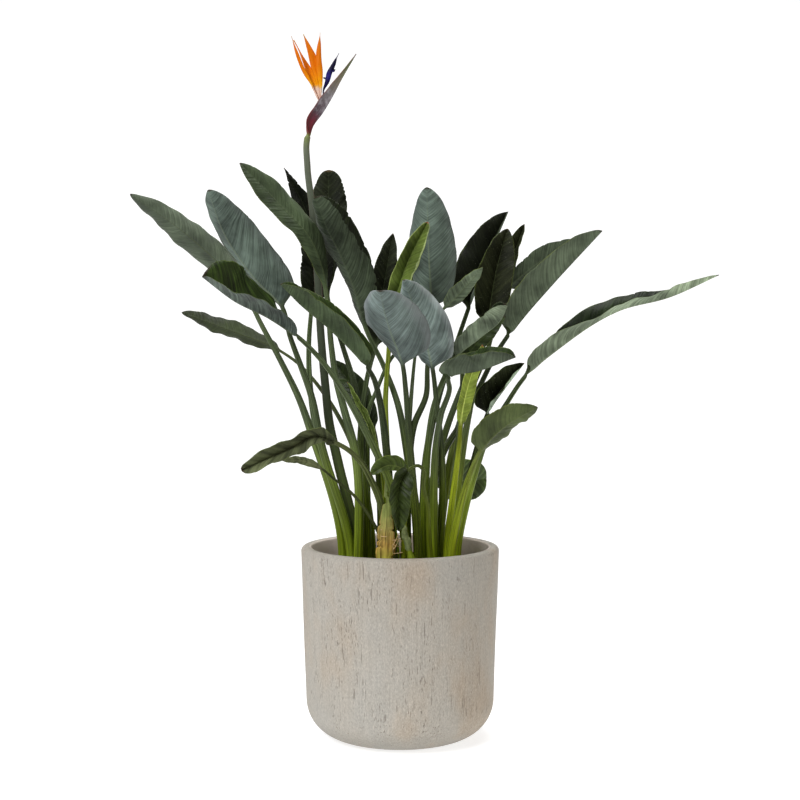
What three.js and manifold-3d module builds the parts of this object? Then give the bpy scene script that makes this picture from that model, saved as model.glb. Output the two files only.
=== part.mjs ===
// A bird of paradise plant in a cylindrical fibre-clay pot.
// Millimetres, +Z up, origin at the centre of the pot's underside, the plant's front towards -Y.

import * as THREE from 'three';
import Module from 'manifold-3d';

const wasm = await Module();
wasm.setup();

const POT_HEIGHT = 384;
const POT_TOP_RADIUS = 200;
const POT_FOOT_RADIUS = 190;
const POT_WALL = 21;
const POT_FLOOR = 24;
const BASE_ROUNDING = 78;
const RIM_ROUNDING = 9;
const SOIL_TOP = 344;
const ROOT_BOTTOM = 312;
const CLEARANCE = 0.35;
const STEM_TOP_IN_SOIL = SOIL_TOP + 8;
const MARGIN_THICKNESS = 1.0;
const BLADE_THICKNESS = 1.5;
const COLUMNS = 5;
const POT_SEGMENTS = 40;
const STEM_FLARE = 0.75;
const BLADE_STATIONS = [0.05, 0.15, 0.29, 0.45, 0.61, 0.77, 0.91, 1];
const PETAL_STATIONS = [0.12, 0.25, 0.4, 0.58, 0.75, 0.89, 1];

const COLOURS = {
  concrete: '#b5ada0',
  soil: '#33291f',
  leafBack: '#6f7f76',
  leafFace: '#2c3a22',
  leafYoung: '#7c9440',
  stem: '#6b7d4c',
  dry: '#b39a62',
  orange: '#e87a0c',
  blue: '#2a2270',
};

function material(colour, roughness) {
  return new THREE.MeshStandardMaterial({ color: colour, roughness, metalness: 0 });
}

// A smooth path through points, leaving the first one straight up.
class Path {
  constructor(points) {
    this.points = points.map((p) => new THREE.Vector3(...p));
    this.lengths = [];
    for (let i = 0; i + 1 < this.points.length; i += 1) {
      this.lengths.push(this.points[i].distanceTo(this.points[i + 1]));
    }
    this.tangents = this.points.map((p, i) => this.tangentAt(i));
  }

  chord(i) {
    return this.points[i + 1].clone().sub(this.points[i]).divideScalar(this.lengths[i]);
  }

  tangentAt(i) {
    const last = this.points.length - 1;
    if (i === 0) {
      return new THREE.Vector3(0, 0, 1);
    }
    if (i === last) {
      return this.chord(last - 1);
    }
    const before = this.lengths[i - 1];
    const after = this.lengths[i];
    const a = this.chord(i - 1).multiplyScalar(after);
    const b = this.chord(i).multiplyScalar(before);
    return a.add(b).divideScalar(before + after);
  }

  // The place and direction at u, a whole number at each point.
  at(u) {
    const i = Math.min(Math.floor(u), this.points.length - 2);
    const t = u - i;
    const d = this.lengths[i];
    const t2 = t * t;
    const t3 = t2 * t;
    const place = this.points[i].clone().multiplyScalar(2 * t3 - 3 * t2 + 1);
    place.addScaledVector(this.points[i + 1], 3 * t2 - 2 * t3);
    place.addScaledVector(this.tangents[i], (t3 - 2 * t2 + t) * d);
    place.addScaledVector(this.tangents[i + 1], (t3 - t2) * d);
    const way = this.points[i].clone().multiplyScalar(6 * t2 - 6 * t);
    way.addScaledVector(this.points[i + 1], 6 * t - 6 * t2);
    way.addScaledVector(this.tangents[i], (3 * t2 - 4 * t + 1) * d);
    way.addScaledVector(this.tangents[i + 1], (3 * t2 - 2 * t) * d);
    return { place, way: way.normalize() };
  }
}

// A value that runs evenly through the listed ones as t goes from 0 to 1.
function along(values, t) {
  const f = Math.min(Math.max(t, 0), 1) * (values.length - 1);
  const i = Math.min(Math.floor(f), values.length - 2);
  return values.length === 1 ? values[0] : values[i] + (values[i + 1] - values[i]) * (f - i);
}

// Share of the full width at t along a blade, one at the widest place.
function fullness([base, tip], t) {
  const widest = base / (base + tip);
  const top = widest ** base * (1 - widest) ** tip;
  return (t ** base * (1 - t) ** tip) / top;
}

// The two directions across a path: to its left seen from the front, and to the back.
function across(way) {
  const left = way.clone().cross(new THREE.Vector3(0, 1, 0)).normalize();
  const back = left.clone().cross(way).multiplyScalar(-1).normalize();
  if (back.y < 0) {
    back.multiplyScalar(-1);
  }
  return { left, back };
}

// A round stem section as ten points, five to the front and five to the back.
function stemRing({ place, way }, radius) {
  const { left, back } = across(way);
  const ring = [];
  for (let side = -1; side <= 1; side += 2) {
    for (let c = 0; c < COLUMNS; c += 1) {
      const angle = THREE.MathUtils.degToRad(18 + 36 * c);
      const point = place.clone().addScaledVector(left, Math.cos(angle) * radius);
      ring.push(point.addScaledVector(back, Math.sin(angle) * radius * side));
    }
  }
  return [...ring.slice(0, COLUMNS), ...ring.slice(COLUMNS).reverse()];
}

// A blade section: two halves meeting at the midrib, each leaning back by its own angle.
function bladeRing({ place, way }, leaf, t) {
  const { left, back } = across(way);
  const rib = along(leaf.rib, t) + leaf.extra;
  const columns = [];
  for (const [sign, half, name] of [[1, leaf.left, 'left'], [-1, leaf.right, 'right']]) {
    const width = Math.max(half[0] * fullness(leaf.shape, t), 0.9);
    const lean = THREE.MathUtils.degToRad(along(half.slice(1), t));
    const out = left.clone().multiplyScalar(sign * Math.cos(lean)).addScaledVector(back, Math.sin(lean));
    const normal = back.clone().multiplyScalar(Math.cos(lean));
    normal.addScaledVector(left, -sign * Math.sin(lean));
    const [high, count, phase] = leaf.wave ?? [0, 1, 0];
    const wave = high * Math.sin(count * t * 2 * Math.PI + phase * sign);
    const swell = wave * Math.sqrt(t * (1 - t)) * 2;
    const margin = place.clone().addScaledVector(out, width).addScaledVector(normal, swell);
    const middle = place.clone().addScaledVector(out, width * 0.5);
    middle.addScaledVector(normal, -leaf.cup * width * 0.5 + swell * 0.25);
    columns.push({ name, out, normal, margin, middle });
  }
  const [l, r] = columns;
  const centre = l.normal.clone().add(r.normal).normalize();
  const thin = along([BLADE_THICKNESS, MARGIN_THICKNESS], t) / 2 + leaf.extra;
  const edge = MARGIN_THICKNESS / 2 + leaf.extra;
  const line = [
    [l.margin, l.normal, edge],
    [l.middle, l.normal, thin],
    [place, centre, rib],
    [r.middle, r.normal, thin],
    [r.margin, r.normal, edge],
  ];
  const front = line.map(([p, n, h]) => p.clone().addScaledVector(n, -h));
  const rear = line.map(([p, n, h]) => p.clone().addScaledVector(n, h));
  return [...front, ...rear.reverse()];
}

// Rings of ten points joined into one closed shell; both faces of a blade are split alike.
function shellFromRings(rings) {
  const count = 2 * COLUMNS;
  const points = rings.flat();
  const faces = [];
  const at = (i, j) => i * count + (j % count);
  for (let i = 0; i + 1 < rings.length; i += 1) {
    for (let j = 0; j < count; j += 1) {
      const [a, b, c, d] = [at(i, j), at(i, j + 1), at(i + 1, j + 1), at(i + 1, j)];
      const leftHalf = j < 2 || (j >= 7 && j < 9);
      const rear = j >= COLUMNS;
      if (leftHalf !== rear) {
        faces.push([a, b, d], [b, c, d]);
      } else {
        faces.push([a, b, c], [a, c, d]);
      }
    }
  }
  const last = rings.length - 1;
  for (let c = 0; c + 1 < COLUMNS; c += 1) {
    const far = count - 1 - c;
    faces.push([at(0, c), at(0, far), at(0, c + 1)], [at(0, far), at(0, far - 1), at(0, c + 1)]);
    faces.push([at(last, c), at(last, c + 1), at(last, far)]);
    faces.push([at(last, far), at(last, c + 1), at(last, far - 1)]);
  }
  return orient(points, faces);
}

// Turns a shell's faces outwards.
function orient(points, faces) {
  let volume = 0;
  for (const [a, b, c] of faces) {
    volume += points[a].dot(points[b].clone().cross(points[c]));
  }
  return { points, faces: volume > 0 ? faces : faces.map(([a, b, c]) => [a, c, b]) };
}

function toSolid({ points, faces }) {
  const mesh = new wasm.Mesh({
    numProp: 3,
    vertProperties: new Float32Array(points.flatMap((p) => [p.x, p.y, p.z])),
    triVerts: new Uint32Array(faces.flat()),
  });
  mesh.merge();
  return new wasm.Manifold(mesh);
}

function fromSolid(solid) {
  const mesh = solid.getMesh();
  const geometry = new THREE.BufferGeometry();
  const flat = new Float32Array(mesh.numVert * 3);
  for (let i = 0; i < mesh.numVert; i += 1) {
    for (let k = 0; k < 3; k += 1) {
      flat[3 * i + k] = mesh.vertProperties[mesh.numProp * i + k];
    }
  }
  geometry.setAttribute('position', new THREE.BufferAttribute(flat, 3));
  geometry.setIndex(new THREE.BufferAttribute(new Uint32Array(mesh.triVerts), 1));
  geometry.computeVertexNormals();
  return geometry;
}

function fromShell({ points, faces }) {
  const geometry = new THREE.BufferGeometry().setFromPoints(points);
  geometry.setIndex(faces.flat());
  geometry.computeVertexNormals();
  return geometry;
}

// The leaves. root: where the stem stands in the soil; stem: the points it passes; blade: from its base to
// its tip; left and right: half width, then how far that half leans back along the blade.

const LEAVES = [
  { name: 'leaf_01', root: [-115, -5],
    stem: [[-180, -5, 618], [-202, 0, 678], [-239, 5, 754], [-279, 10, 829]],
    blade: [[-308, 15, 885], [-422, 5, 1005], [-536, -25, 1088]],
    left: [45, 46, 58], right: [42, 48, 42], shape: [0.5, 0.7], tone: 'leafBack' },
  { name: 'leaf_02', root: [-98, -30],
    stem: [[-159, -30, 599], [-178, -34, 693], [-199, -40, 753], [-218, -48, 808]],
    blade: [[-231, -60, 862], [-282, -85, 918], [-342, -130, 1015], [-363, -160, 1083]],
    left: [58, 82, 76, 58], right: [65, 0, 5], shape: [0.4, 0.65], tone: 'leafBack' },
  { name: 'leaf_03', root: [14, -58],
    stem: [[-25, -78, 532], [-58, -88, 602], [-108, -98, 695], [-148, -107, 754]],
    blade: [[-194, -117, 802], [-250, -138, 841], [-313, -172, 873], [-371, -200, 917]],
    left: [48, -150, -142, -122, -112, -112], right: [69, 70, 62, 40, 26, 22], shape: [0.75, 0.35],
    tone: 'leafFace' },
  { name: 'leaf_04', root: [-55, 64], thin: true,
    stem: [[-104, 80, 593], [-146, 95, 670], [-184, 105, 720], [-213, 110, 750]],
    blade: [[-249, 115, 775], [-357, 130, 819], [-459, 140, 856]],
    left: [23, 45, 50], right: [27, 40, 45], shape: [0.6, 0.6], tone: 'leafBack' },
  { name: 'leaf_05', root: [-83, -45], thick: true,
    stem: [[-90, -42, 580], [-111, -32, 659], [-127, -28, 719], [-137, -30, 789]],
    blade: [[-146, -35, 890], [-178, -55, 997], [-240, -80, 1067], [-309, -110, 1139]],
    left: [34, -46, -52], right: [45, 52, 48], shape: [1.0, 0.75], tone: 'leafBack' },
  { name: 'leaf_06', root: [-100, 25],
    stem: [[-166, 34, 595], [-181, 50, 676], [-188, 75, 778]],
    blade: [[-183, 100, 869], [-173, 130, 961], [-200, 170, 1073], [-248, 200, 1165]],
    left: [36, -25], right: [42, -25], shape: [0.5, 1.1], tone: 'leafFace' },
  { name: 'leaf_07', root: [-17, -48],
    stem: [[-29, -52, 601], [-40, -86, 682], [-51, -120, 725]],
    blade: [[-61, -140, 744], [-132, -167, 820], [-189, -187, 868], [-224, -200, 903]],
    left: [37, -148, -148], right: [42, 0, 8, 28, 35, 30], shape: [0.4, 0.6], tone: 'leafBack' },
  { name: 'leaf_08', root: [-80, 42],
    stem: [[-75, 32, 594], [-89, 50, 689], [-120, 105, 788]],
    blade: [[-151, 150, 882], [-153, 205, 1021], [-155, 250, 1166]],
    left: [37, -12], right: [42, -18], shape: [1.0, 0.5], tone: 'leafFace' },
  { name: 'leaf_09', root: [40, 0],
    stem: [[15, -5, 567], [-7, 4, 678], [-34, 16, 748]],
    blade: [[-69, 0, 822], [-87, -8, 888], [-116, -25, 963], [-149, -45, 1031], [-166, -60, 1079]],
    left: [38, 68, 60], right: [55, 14, 10], shape: [0.6, 0.5], tone: 'leafBack' },
  { name: 'leaf_10', root: [-67, -16],
    stem: [[-69, -14, 477], [-80, 0, 577], [-76, 16, 657], [-62, 54, 744]],
    blade: [[-50, 78, 786], [-35, 125, 903], [-15, 175, 1024]],
    left: [39, -30], right: [32, -25], shape: [0.35, 0.7], tone: 'leafFace' },
  { name: 'leaf_11', root: [-8, -18], young: true,
    stem: [[-21, -15, 477], [-27, -10, 598], [-29, -10, 678], [-24, -20, 755]],
    blade: [[-17, -38, 838], [9, -57, 935], [54, -77, 1029]],
    left: [25, -30, -38], right: [34, -60, -50], shape: [0.5, 0.5], tone: 'leafYoung' },
  { name: 'leaf_12', root: [8, 8], thin: true,
    stem: [[17, 10, 597], [23, 16, 687], [29, 35, 752]],
    blade: [[42, 60, 845], [41, 100, 933], [39, 140, 1010]],
    left: [26, -20], right: [22, -20], shape: [0.5, 0.7], tone: 'leafFace' },
  { name: 'leaf_13', root: [14, 30],
    stem: [[17, 27, 514], [29, 18, 628], [53, 10, 688], [55, 5, 738]],
    blade: [[63, 0, 862], [57, -8, 988], [53, -20, 1102]],
    left: [50, 42, 40], right: [56, 12, 10], shape: [0.42, 0.6], tone: 'leafBack' },
  { name: 'leaf_14', root: [36, -60],
    stem: [[25, -72, 523], [17, -97, 623], [11, -125, 702]],
    blade: [[5, -150, 752], [-20, -200, 821], [-37, -275, 888]],
    left: [60, 74, 60, 46, 50], right: [72, 8, 5], shape: [0.3, 0.55], tone: 'leafBack' },
  { name: 'leaf_15', root: [78, -25],
    stem: [[85, -30, 479], [82, -55, 581], [71, -83, 681]],
    blade: [[63, -103, 744], [51, -118, 793], [28, -150, 860], [7, -185, 912]],
    left: [42, 55], right: [57, 14], shape: [0.35, 0.7], tone: 'leafBack' },
  { name: 'leaf_16', root: [49, 45],
    stem: [[56, 50, 574], [81, 75, 685], [113, 105, 778]],
    blade: [[143, 130, 863], [184, 185, 964], [235, 250, 1076]],
    left: [60, -12], right: [46, -98], shape: [0.45, 0.7], tone: 'leafFace' },
  { name: 'leaf_17', root: [-62, 20], thin: true,
    stem: [[-66, 17, 576], [-64, 10, 653], [-45, 0, 702], [-21, -10, 756], [39, -32, 818]],
    blade: [[88, -57, 862], [126, -90, 902], [159, -125, 939]],
    left: [20, -30], right: [17, 25], shape: [0.5, 0.85], tone: 'leafBack' },
  { name: 'leaf_18', root: [100, -8],
    stem: [[116, -2, 496], [130, 5, 597], [147, 24, 687], [161, 46, 768]],
    blade: [[177, 65, 828], [200, 105, 944], [226, 150, 1032]],
    left: [45, -32], right: [42, -28], shape: [0.35, 0.7], tone: 'leafFace' },
  { name: 'leaf_19', root: [80, 50],
    stem: [[91, 56, 470], [113, 80, 592], [145, 115, 684], [185, 155, 777]],
    blade: [[212, 190, 882], [240, 225, 966], [271, 260, 1050]],
    left: [34, -30], right: [26, -72], shape: [0.5, 0.8], tone: 'leafFace' },
  { name: 'leaf_20', root: [52, 70],
    stem: [[61, 66, 469], [96, 86, 613], [145, 108, 736], [191, 126, 840]],
    blade: [[227, 140, 906], [292, 150, 962], [375, 160, 1009]],
    left: [27, -20], right: [28, 20], shape: [0.5, 0.6], tone: 'leafBack' },
  { name: 'leaf_21', root: [49, -28],
    stem: [[51, -28, 519], [57, -36, 600], [68, -44, 670], [87, -58, 724]],
    blade: [[104, -70, 760], [152, -122, 803], [192, -172, 840], [202, -190, 864]],
    left: [29, 28, 20], right: [37, -154, -150], shape: [0.5, 0.32], tone: 'leafBack' },
  { name: 'leaf_22', root: [95, 22],
    stem: [[108, 24, 475], [118, 24, 577], [124, 14, 658], [125, -10, 712]],
    blade: [[126, -32, 752], [160, -55, 800], [206, -75, 845]],
    left: [28, 20], right: [18, -30], shape: [0.5, 0.6], tone: 'leafFace' },
  { name: 'leaf_23', root: [57, 20],
    stem: [[66, 26, 494], [90, 36, 573], [117, 42, 616], [159, 40, 697], [198, 26, 776]],
    blade: [[217, 14, 806], [300, -12, 906], [400, -40, 1014]],
    left: [46, 30, 20], right: [54, -158, -160], shape: [0.45, 0.6], tone: 'leafBack' },
  { name: 'leaf_24', root: [68, -45],
    stem: [[67, -48, 481], [70, -68, 582], [80, -97, 653], [95, -138, 705]],
    blade: [[92, -165, 727], [148, -215, 743], [212, -264, 767]],
    left: [42, 28, 26], right: [44, -142, -140], shape: [0.42, 0.5], tone: 'leafBack' },
  { name: 'leaf_25', root: [105, 40],
    stem: [[134, 35, 493], [149, 25, 551], [164, 5, 613]],
    blade: [[176, -10, 651], [208, -35, 702], [245, -65, 753]],
    left: [46, -25], right: [36, -100], shape: [0.32, 0.6], tone: 'leafFace' },
  { name: 'leaf_26', root: [112, -38],
    stem: [[131, -38, 470], [148, -40, 530], [178, -40, 616], [210, -35, 669]],
    blade: [[247, -27, 723], [329, -10, 792], [443, 15, 859], [547, 35, 886], [651, 50, 931]],
    left: [38, 70, 72, 45, 35, 38, 46, 52, 56, 58],
    right: [34, -160, -165, -140, -110, -105, -118, -138, -155, -150],
    shape: [0.4, 0.75], tone: 'leafBack' },
  { name: 'leaf_27', root: [99, -73],
    stem: [[115, -75, 454], [130, -85, 515], [141, -102, 549]],
    blade: [[155, -120, 583], [200, -150, 634], [260, -180, 672]],
    left: [40, -15], right: [32, 55], shape: [0.4, 0.65], tone: 'leafBack' },
  { name: 'leaf_28', root: [92, -50], young: true,
    stem: [[104, -50, 481], [112, -48, 541], [118, -45, 596]],
    blade: [[120, -45, 630], [132, -55, 699], [161, -80, 789]],
    left: [14, -25], right: [17, -20], shape: [0.5, 0.6], tone: 'leafYoung' },
  { name: 'leaf_29', root: [80, 82],
    stem: [[78, 88, 420], [74, 100, 460]],
    blade: [[74, 112, 490], [128, 150, 500], [185, 185, 501]],
    left: [46, -12], right: [44, -12], shape: [0.45, 0.4], tone: 'leafFace' },
  { name: 'leaf_30', root: [-38, 42],
    stem: [[-44, 46, 520]],
    blade: [[-54, 50, 616], [-80, 85, 673], [-107, 115, 713], [-140, 140, 754]],
    left: [30, -25], right: [28, -20], shape: [0.45, 0.6], tone: 'leafFace' },
  { name: 'leaf_31', root: [-37, -22], young: true,
    stem: [[-29, -34, 478]],
    blade: [[-36, -34, 540], [-70, -20, 650], [-106, -10, 714]],
    left: [9, -50], right: [9, -50], shape: [0.5, 0.6], tone: 'leafYoung' },
  { name: 'leaf_32', root: [6, -80], thin: true,
    stem: [[9, -88, 440], [10, -114, 500]],
    blade: [[8, -146, 550], [-20, -160, 560], [-56, -168, 543]],
    left: [10, -20], right: [22, -20], shape: [0.5, 0.6], tone: 'leafFace' },
  { name: 'leaf_33', root: [-12, -78],
    stem: [[-32, -84, 456], [-40, -97, 487], [-56, -121, 528], [-74, -145, 563], [-96, -160, 587]],
    blade: [[-121, -172, 603], [-156, -187, 616], [-217, -207, 590], [-296, -225, 556]],
    left: [24, -58, -48], right: [28, -50, -48], shape: [0.5, 0.32], wave: [5, 2, 1], tone: 'leafFace' },
  { name: 'leaf_34', root: [60, -76], thin: true,
    stem: [[56, -85, 426], [54, -100, 473], [45, -122, 516], [46, -142, 547], [34, -158, 559]],
    blade: [[16, -170, 552], [-1, -178, 526], [-3, -181, 486], [-3, -178, 436]],
    left: [30, -25], right: [32, -58], shape: [0.4, 0.6], tone: 'leafFace' },
  { name: 'leaf_35', root: [-34, -78], dry: true,
    stem: [[-34, -88, 396], [-57, -102, 451], [-98, -115, 506], [-127, -125, 530]],
    blade: [[-150, -133, 550], [-187, -145, 567], [-225, -155, 568]],
    left: [7, -20], right: [9, -20], shape: [0.5, 0.6], tone: 'leafFace' },
  { name: 'dried_sheath', root: [-28, -110], dry: true,
    stem: [],
    blade: [[-28, -110, 356], [-27, -111, 400], [-26, -112, 460], [-27, -112, 530]],
    left: [21, 18, 15], right: [20, 20, 18], shape: [0.25, 1.0], tone: 'dry' },
  { name: 'old_sheath', root: [24, -104], thick: true,
    stem: [[21, -104, 376]],
    blade: [[18, -104, 388], [11, -105, 416], [3, -106, 446]],
    left: [9, 40], right: [10, 40], shape: [0.2, 0.6], tone: 'stem' },
];

// Stem radius at the soil and at the blade's base.
function stemRadii(leaf) {
  if (leaf.stout) {
    return [10.4, 6.2];
  }
  if (leaf.thick) {
    return [10.0, 5.2];
  }
  if (leaf.dry) {
    return [4.2, 2.2];
  }
  if (leaf.young) {
    return [8.0, 4.4];
  }
  return leaf.thin ? [5.8, 3.0] : [9.4, 4.4];
}

// Stem radius at share s of the way from the soil to the blade: wide at the foot.
function stemRadius([foot, neck], s) {
  return neck + (foot - neck) * (1 - s) ** (1 / STEM_FLARE);
}

function leafShell(leaf, extra = 0) {
  const [foot, neck] = stemRadii(leaf).map((radius) => radius + extra);
  const [x, y] = leaf.root;
  const start = [x, y, STEM_TOP_IN_SOIL];
  const full = { cup: 0.08, wave: null, extra, ...leaf, rib: [neck * 0.8, 2.0, 1.3, 0.6] };
  const path = new Path([start, ...leaf.stem, ...leaf.blade]);
  const neckAt = leaf.stem.length + 1;
  const tipAt = path.points.length - 1;
  const up = new THREE.Vector3(0, 0, 1);
  const rings = [];
  rings.push(stemRing({ place: new THREE.Vector3(x, y, ROOT_BOTTOM), way: up }, foot));
  rings.push(stemRing({ place: new THREE.Vector3(x, y, STEM_TOP_IN_SOIL), way: up }, foot));
  for (let u = 1; u <= neckAt; u += 1) {
    rings.push(stemRing(path.at(u), stemRadius([foot, neck], u / neckAt)));
  }
  for (const t of BLADE_STATIONS) {
    const u = neckAt + t * (tipAt - neckAt);
    rings.push(bladeRing(path.at(u), full, t));
  }
  return shellFromRings(rings);
}

function arc(cx, cz, radius, from, to, steps) {
  const points = [];
  for (let i = 0; i <= steps; i += 1) {
    const angle = THREE.MathUtils.degToRad(from + ((to - from) * i) / steps);
    points.push([cx + radius * Math.cos(angle), cz + radius * Math.sin(angle)]);
  }
  return points;
}

function lathe(profile, segments) {
  const geometry = new THREE.LatheGeometry(profile.map(([r, z]) => new THREE.Vector2(r, z)), segments);
  geometry.rotateX(Math.PI / 2);
  const position = geometry.getAttribute('position');
  const points = [];
  const index = new Map();
  const remap = [];
  for (let i = 0; i < position.count; i += 1) {
    const p = new THREE.Vector3().fromBufferAttribute(position, i);
    const key = [p.x, p.y, p.z].map((v) => v.toFixed(3)).join();
    if (!index.has(key)) {
      index.set(key, points.length);
      points.push(p);
    }
    remap.push(index.get(key));
  }
  const faces = [];
  const source = geometry.getIndex();
  for (let i = 0; i < source.count; i += 3) {
    const face = [0, 1, 2].map((k) => remap[source.getX(i + k)]);
    if (new Set(face).size === 3) {
      faces.push(face);
    }
  }
  return orient(points, faces);
}

// The inner profile from the floor's middle up to the rim, moved inwards by a gap.
function innerProfile(gap) {
  const floor = POT_FLOOR + gap;
  const corner = BASE_ROUNDING - POT_WALL;
  const foot = POT_FOOT_RADIUS - POT_WALL - gap;
  const top = POT_TOP_RADIUS - POT_WALL - gap;
  return [[0, floor], ...arc(foot - corner, floor + corner, corner, -90, -4, 4), [top, POT_HEIGHT]];
}

function potShell() {
  const outer = [[0, 0], ...arc(POT_FOOT_RADIUS - BASE_ROUNDING, BASE_ROUNDING, BASE_ROUNDING, -90, -4, 7)];
  const rimTop = POT_TOP_RADIUS - RIM_ROUNDING;
  const rim = arc(rimTop, POT_HEIGHT - RIM_ROUNDING, RIM_ROUNDING, 0, 90, 3);
  const inside = innerProfile(0);
  const lip = inside.pop();
  const inner = [[lip[0] + 4, POT_HEIGHT], [lip[0], POT_HEIGHT - 4], ...inside.reverse()];
  return lathe([...outer, ...rim, ...inner], POT_SEGMENTS);
}

function soilSolid(stems) {
  const profile = innerProfile(CLEARANCE);
  const top = profile.pop();
  const last = profile[profile.length - 1];
  const share = (SOIL_TOP - last[1]) / (top[1] - last[1]);
  profile.push([last[0] + (top[0] - last[0]) * share, SOIL_TOP], [0, SOIL_TOP]);
  let soil = toSolid(lathe(profile, POT_SEGMENTS));
  for (const { root, radius } of stems) {
    const hole = new THREE.Vector3(root[0], root[1], 0);
    const wide = radius + CLEARANCE / Math.cos(THREE.MathUtils.degToRad(18));
    const low = { place: hole.clone().setZ(ROOT_BOTTOM - CLEARANCE), way: new THREE.Vector3(0, 0, 1) };
    const high = { place: hole.clone().setZ(SOIL_TOP + 20), way: new THREE.Vector3(0, 0, 1) };
    soil = soil.subtract(toSolid(shellFromRings([stemRing(low, wide), stemRing(high, wide)])));
  }
  return soil;
}

const FLOWER_STEM = {
  name: 'flower_stem',
  root: [-86, -8],
  stem: [[-126, 0, 557], [-142, 8, 627], [-150, 12, 698], [-159, 15, 798], [-167, 17, 940],
    [-176, 15, 1060], [-186, 12, 1149]],
  blade: [[-186, 10, 1202], [-178, 9, 1226], [-159, 8, 1250], [-138, 8, 1283], [-118, 8, 1319], [-87, 8, 1370]],
  left: [21, 70, 40, 32, 22, 12],
  right: [21, -60, -146, -148, -158, -168],
  shape: [0.8, 1.2],
  cup: 0.05,
  stout: true,
};

// Each petal: points from base to tip, half width, and how far its halves lean.
const SEPALS = [
  { blade: [[-160, 7.5, 1264], [-165, 7, 1284], [-176, 5, 1308], [-198, -2, 1348], [-216, -8, 1402]],
    left: [3.8, 30], right: [3.8, -30] },
  { blade: [[-160, 9, 1264], [-163, 10, 1286], [-169, 12, 1310], [-187, 16, 1349], [-213, 20, 1400]],
    left: [9.3, 20], right: [8, -40], shape: [2.2, 1.9] },
  { blade: [[-159, 8.5, 1264], [-160, 8, 1286], [-164, 7, 1310], [-175, 6, 1352], [-193, 4, 1408]],
    left: [4.5, 10], right: [13, 25] },
  { blade: [[-158, 7.5, 1264], [-157, 6, 1284], [-158, 2, 1308], [-161, -2, 1352], [-159, -4, 1410]],
    left: [8, 20], right: [5.5, 25] },
];

const TONGUE = [
  { blade: [[-150, 8, 1266], [-153, 8, 1298], [-146, 7, 1316], [-140, 6, 1333], [-130, 5, 1353], [-122, 4, 1371]],
    left: [6, 20], right: [6, 20], shape: [2.2, 1.9] },
  { blade: [[-145, 7, 1317], [-149, 7, 1320], [-154, 6, 1323]], left: [3, 30], right: [3, 30] },
  { blade: [[-139, 6, 1332], [-134, 5, 1335], [-129, 5, 1339]], left: [3, 30], right: [3, 30] },
];

// A petal on its own: a rounded foot that opens into a thin blade.
function petalSolid(petal, foot) {
  const path = new Path(petal.blade);
  path.tangents[0] = path.chord(0);
  const full = { cup: 0.05, wave: null, extra: 0, shape: [3.2, 1.3], ...petal, rib: [1.5, 1.1, 0.6] };
  const tipAt = path.points.length - 1;
  const rings = [stemRing(path.at(0), foot)];
  for (const t of PETAL_STATIONS) {
    rings.push(bladeRing(path.at(t * tipAt), full, t));
  }
  return toSolid(shellFromRings(rings));
}

// Petals joined at their feet, cut to stand just clear inside the boat-shaped bract.
function petals(list, foot) {
  const [first, ...others] = list.map((petal) => petalSolid(petal, foot));
  const whole = others.reduce((sum, next) => sum.add(next), first);
  return whole.subtract(toSolid(leafShell(FLOWER_STEM, CLEARANCE)));
}

function node(name, geometry, colour, roughness) {
  const mesh = new THREE.Mesh(geometry, material(colour, roughness));
  mesh.name = name;
  return mesh;
}

function build() {
  const group = new THREE.Group();
  group.name = 'potted_bird_of_paradise';
  const stems = [...LEAVES, FLOWER_STEM].map((leaf) => ({ root: leaf.root, radius: stemRadii(leaf)[0] }));
  group.add(node('pot', fromShell(potShell()), COLOURS.concrete, 0.9));
  group.add(node('soil', fromSolid(soilSolid(stems)), COLOURS.soil, 1));
  for (const leaf of LEAVES) {
    group.add(node(leaf.name, fromShell(leafShell(leaf)), COLOURS[leaf.tone], 0.5));
  }
  group.add(node('flower_stem', fromShell(leafShell(FLOWER_STEM)), COLOURS.stem, 0.55));
  group.add(node('flower_sepals', fromSolid(petals(SEPALS, 1.4)), COLOURS.orange, 0.5));
  group.add(node('flower_tongue', fromSolid(petals(TONGUE, 1.2)), COLOURS.blue, 0.45));
  return group;
}

export default build();
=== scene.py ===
"""A bird of paradise plant in a cast fibre-clay pot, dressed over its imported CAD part.

Every length in the tables is in millimetres, in the part's own frame: +Z up, the plant's front towards -Y.
"""

import logging
import math
import random
from dataclasses import dataclass, field
from enum import Enum

import bpy
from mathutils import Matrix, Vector

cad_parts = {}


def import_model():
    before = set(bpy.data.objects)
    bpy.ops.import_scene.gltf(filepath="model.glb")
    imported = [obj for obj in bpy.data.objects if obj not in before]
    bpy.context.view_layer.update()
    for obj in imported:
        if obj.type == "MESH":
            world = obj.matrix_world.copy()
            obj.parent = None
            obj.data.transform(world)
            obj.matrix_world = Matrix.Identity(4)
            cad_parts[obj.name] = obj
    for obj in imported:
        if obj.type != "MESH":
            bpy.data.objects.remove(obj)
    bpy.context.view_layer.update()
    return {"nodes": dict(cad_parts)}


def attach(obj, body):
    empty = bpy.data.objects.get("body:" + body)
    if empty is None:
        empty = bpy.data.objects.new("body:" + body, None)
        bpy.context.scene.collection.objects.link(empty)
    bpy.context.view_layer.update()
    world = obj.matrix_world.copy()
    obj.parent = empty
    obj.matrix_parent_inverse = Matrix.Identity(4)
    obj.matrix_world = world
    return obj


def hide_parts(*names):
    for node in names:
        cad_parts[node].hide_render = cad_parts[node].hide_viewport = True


LOG = logging.getLogger("bird_of_paradise")
MM = 0.001
BODY = "root"

Point = tuple[float, float, float]
Colour = tuple[float, float, float, float]
Pair = tuple[float, float]
Tree = bpy.types.NodeTree
Growth = bpy.types.GeometryNodeTree
Node = bpy.types.Node
Socket = bpy.types.NodeSocket
Material = bpy.types.Material
Mesh = bpy.types.Mesh
Piece = bpy.types.Object
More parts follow.
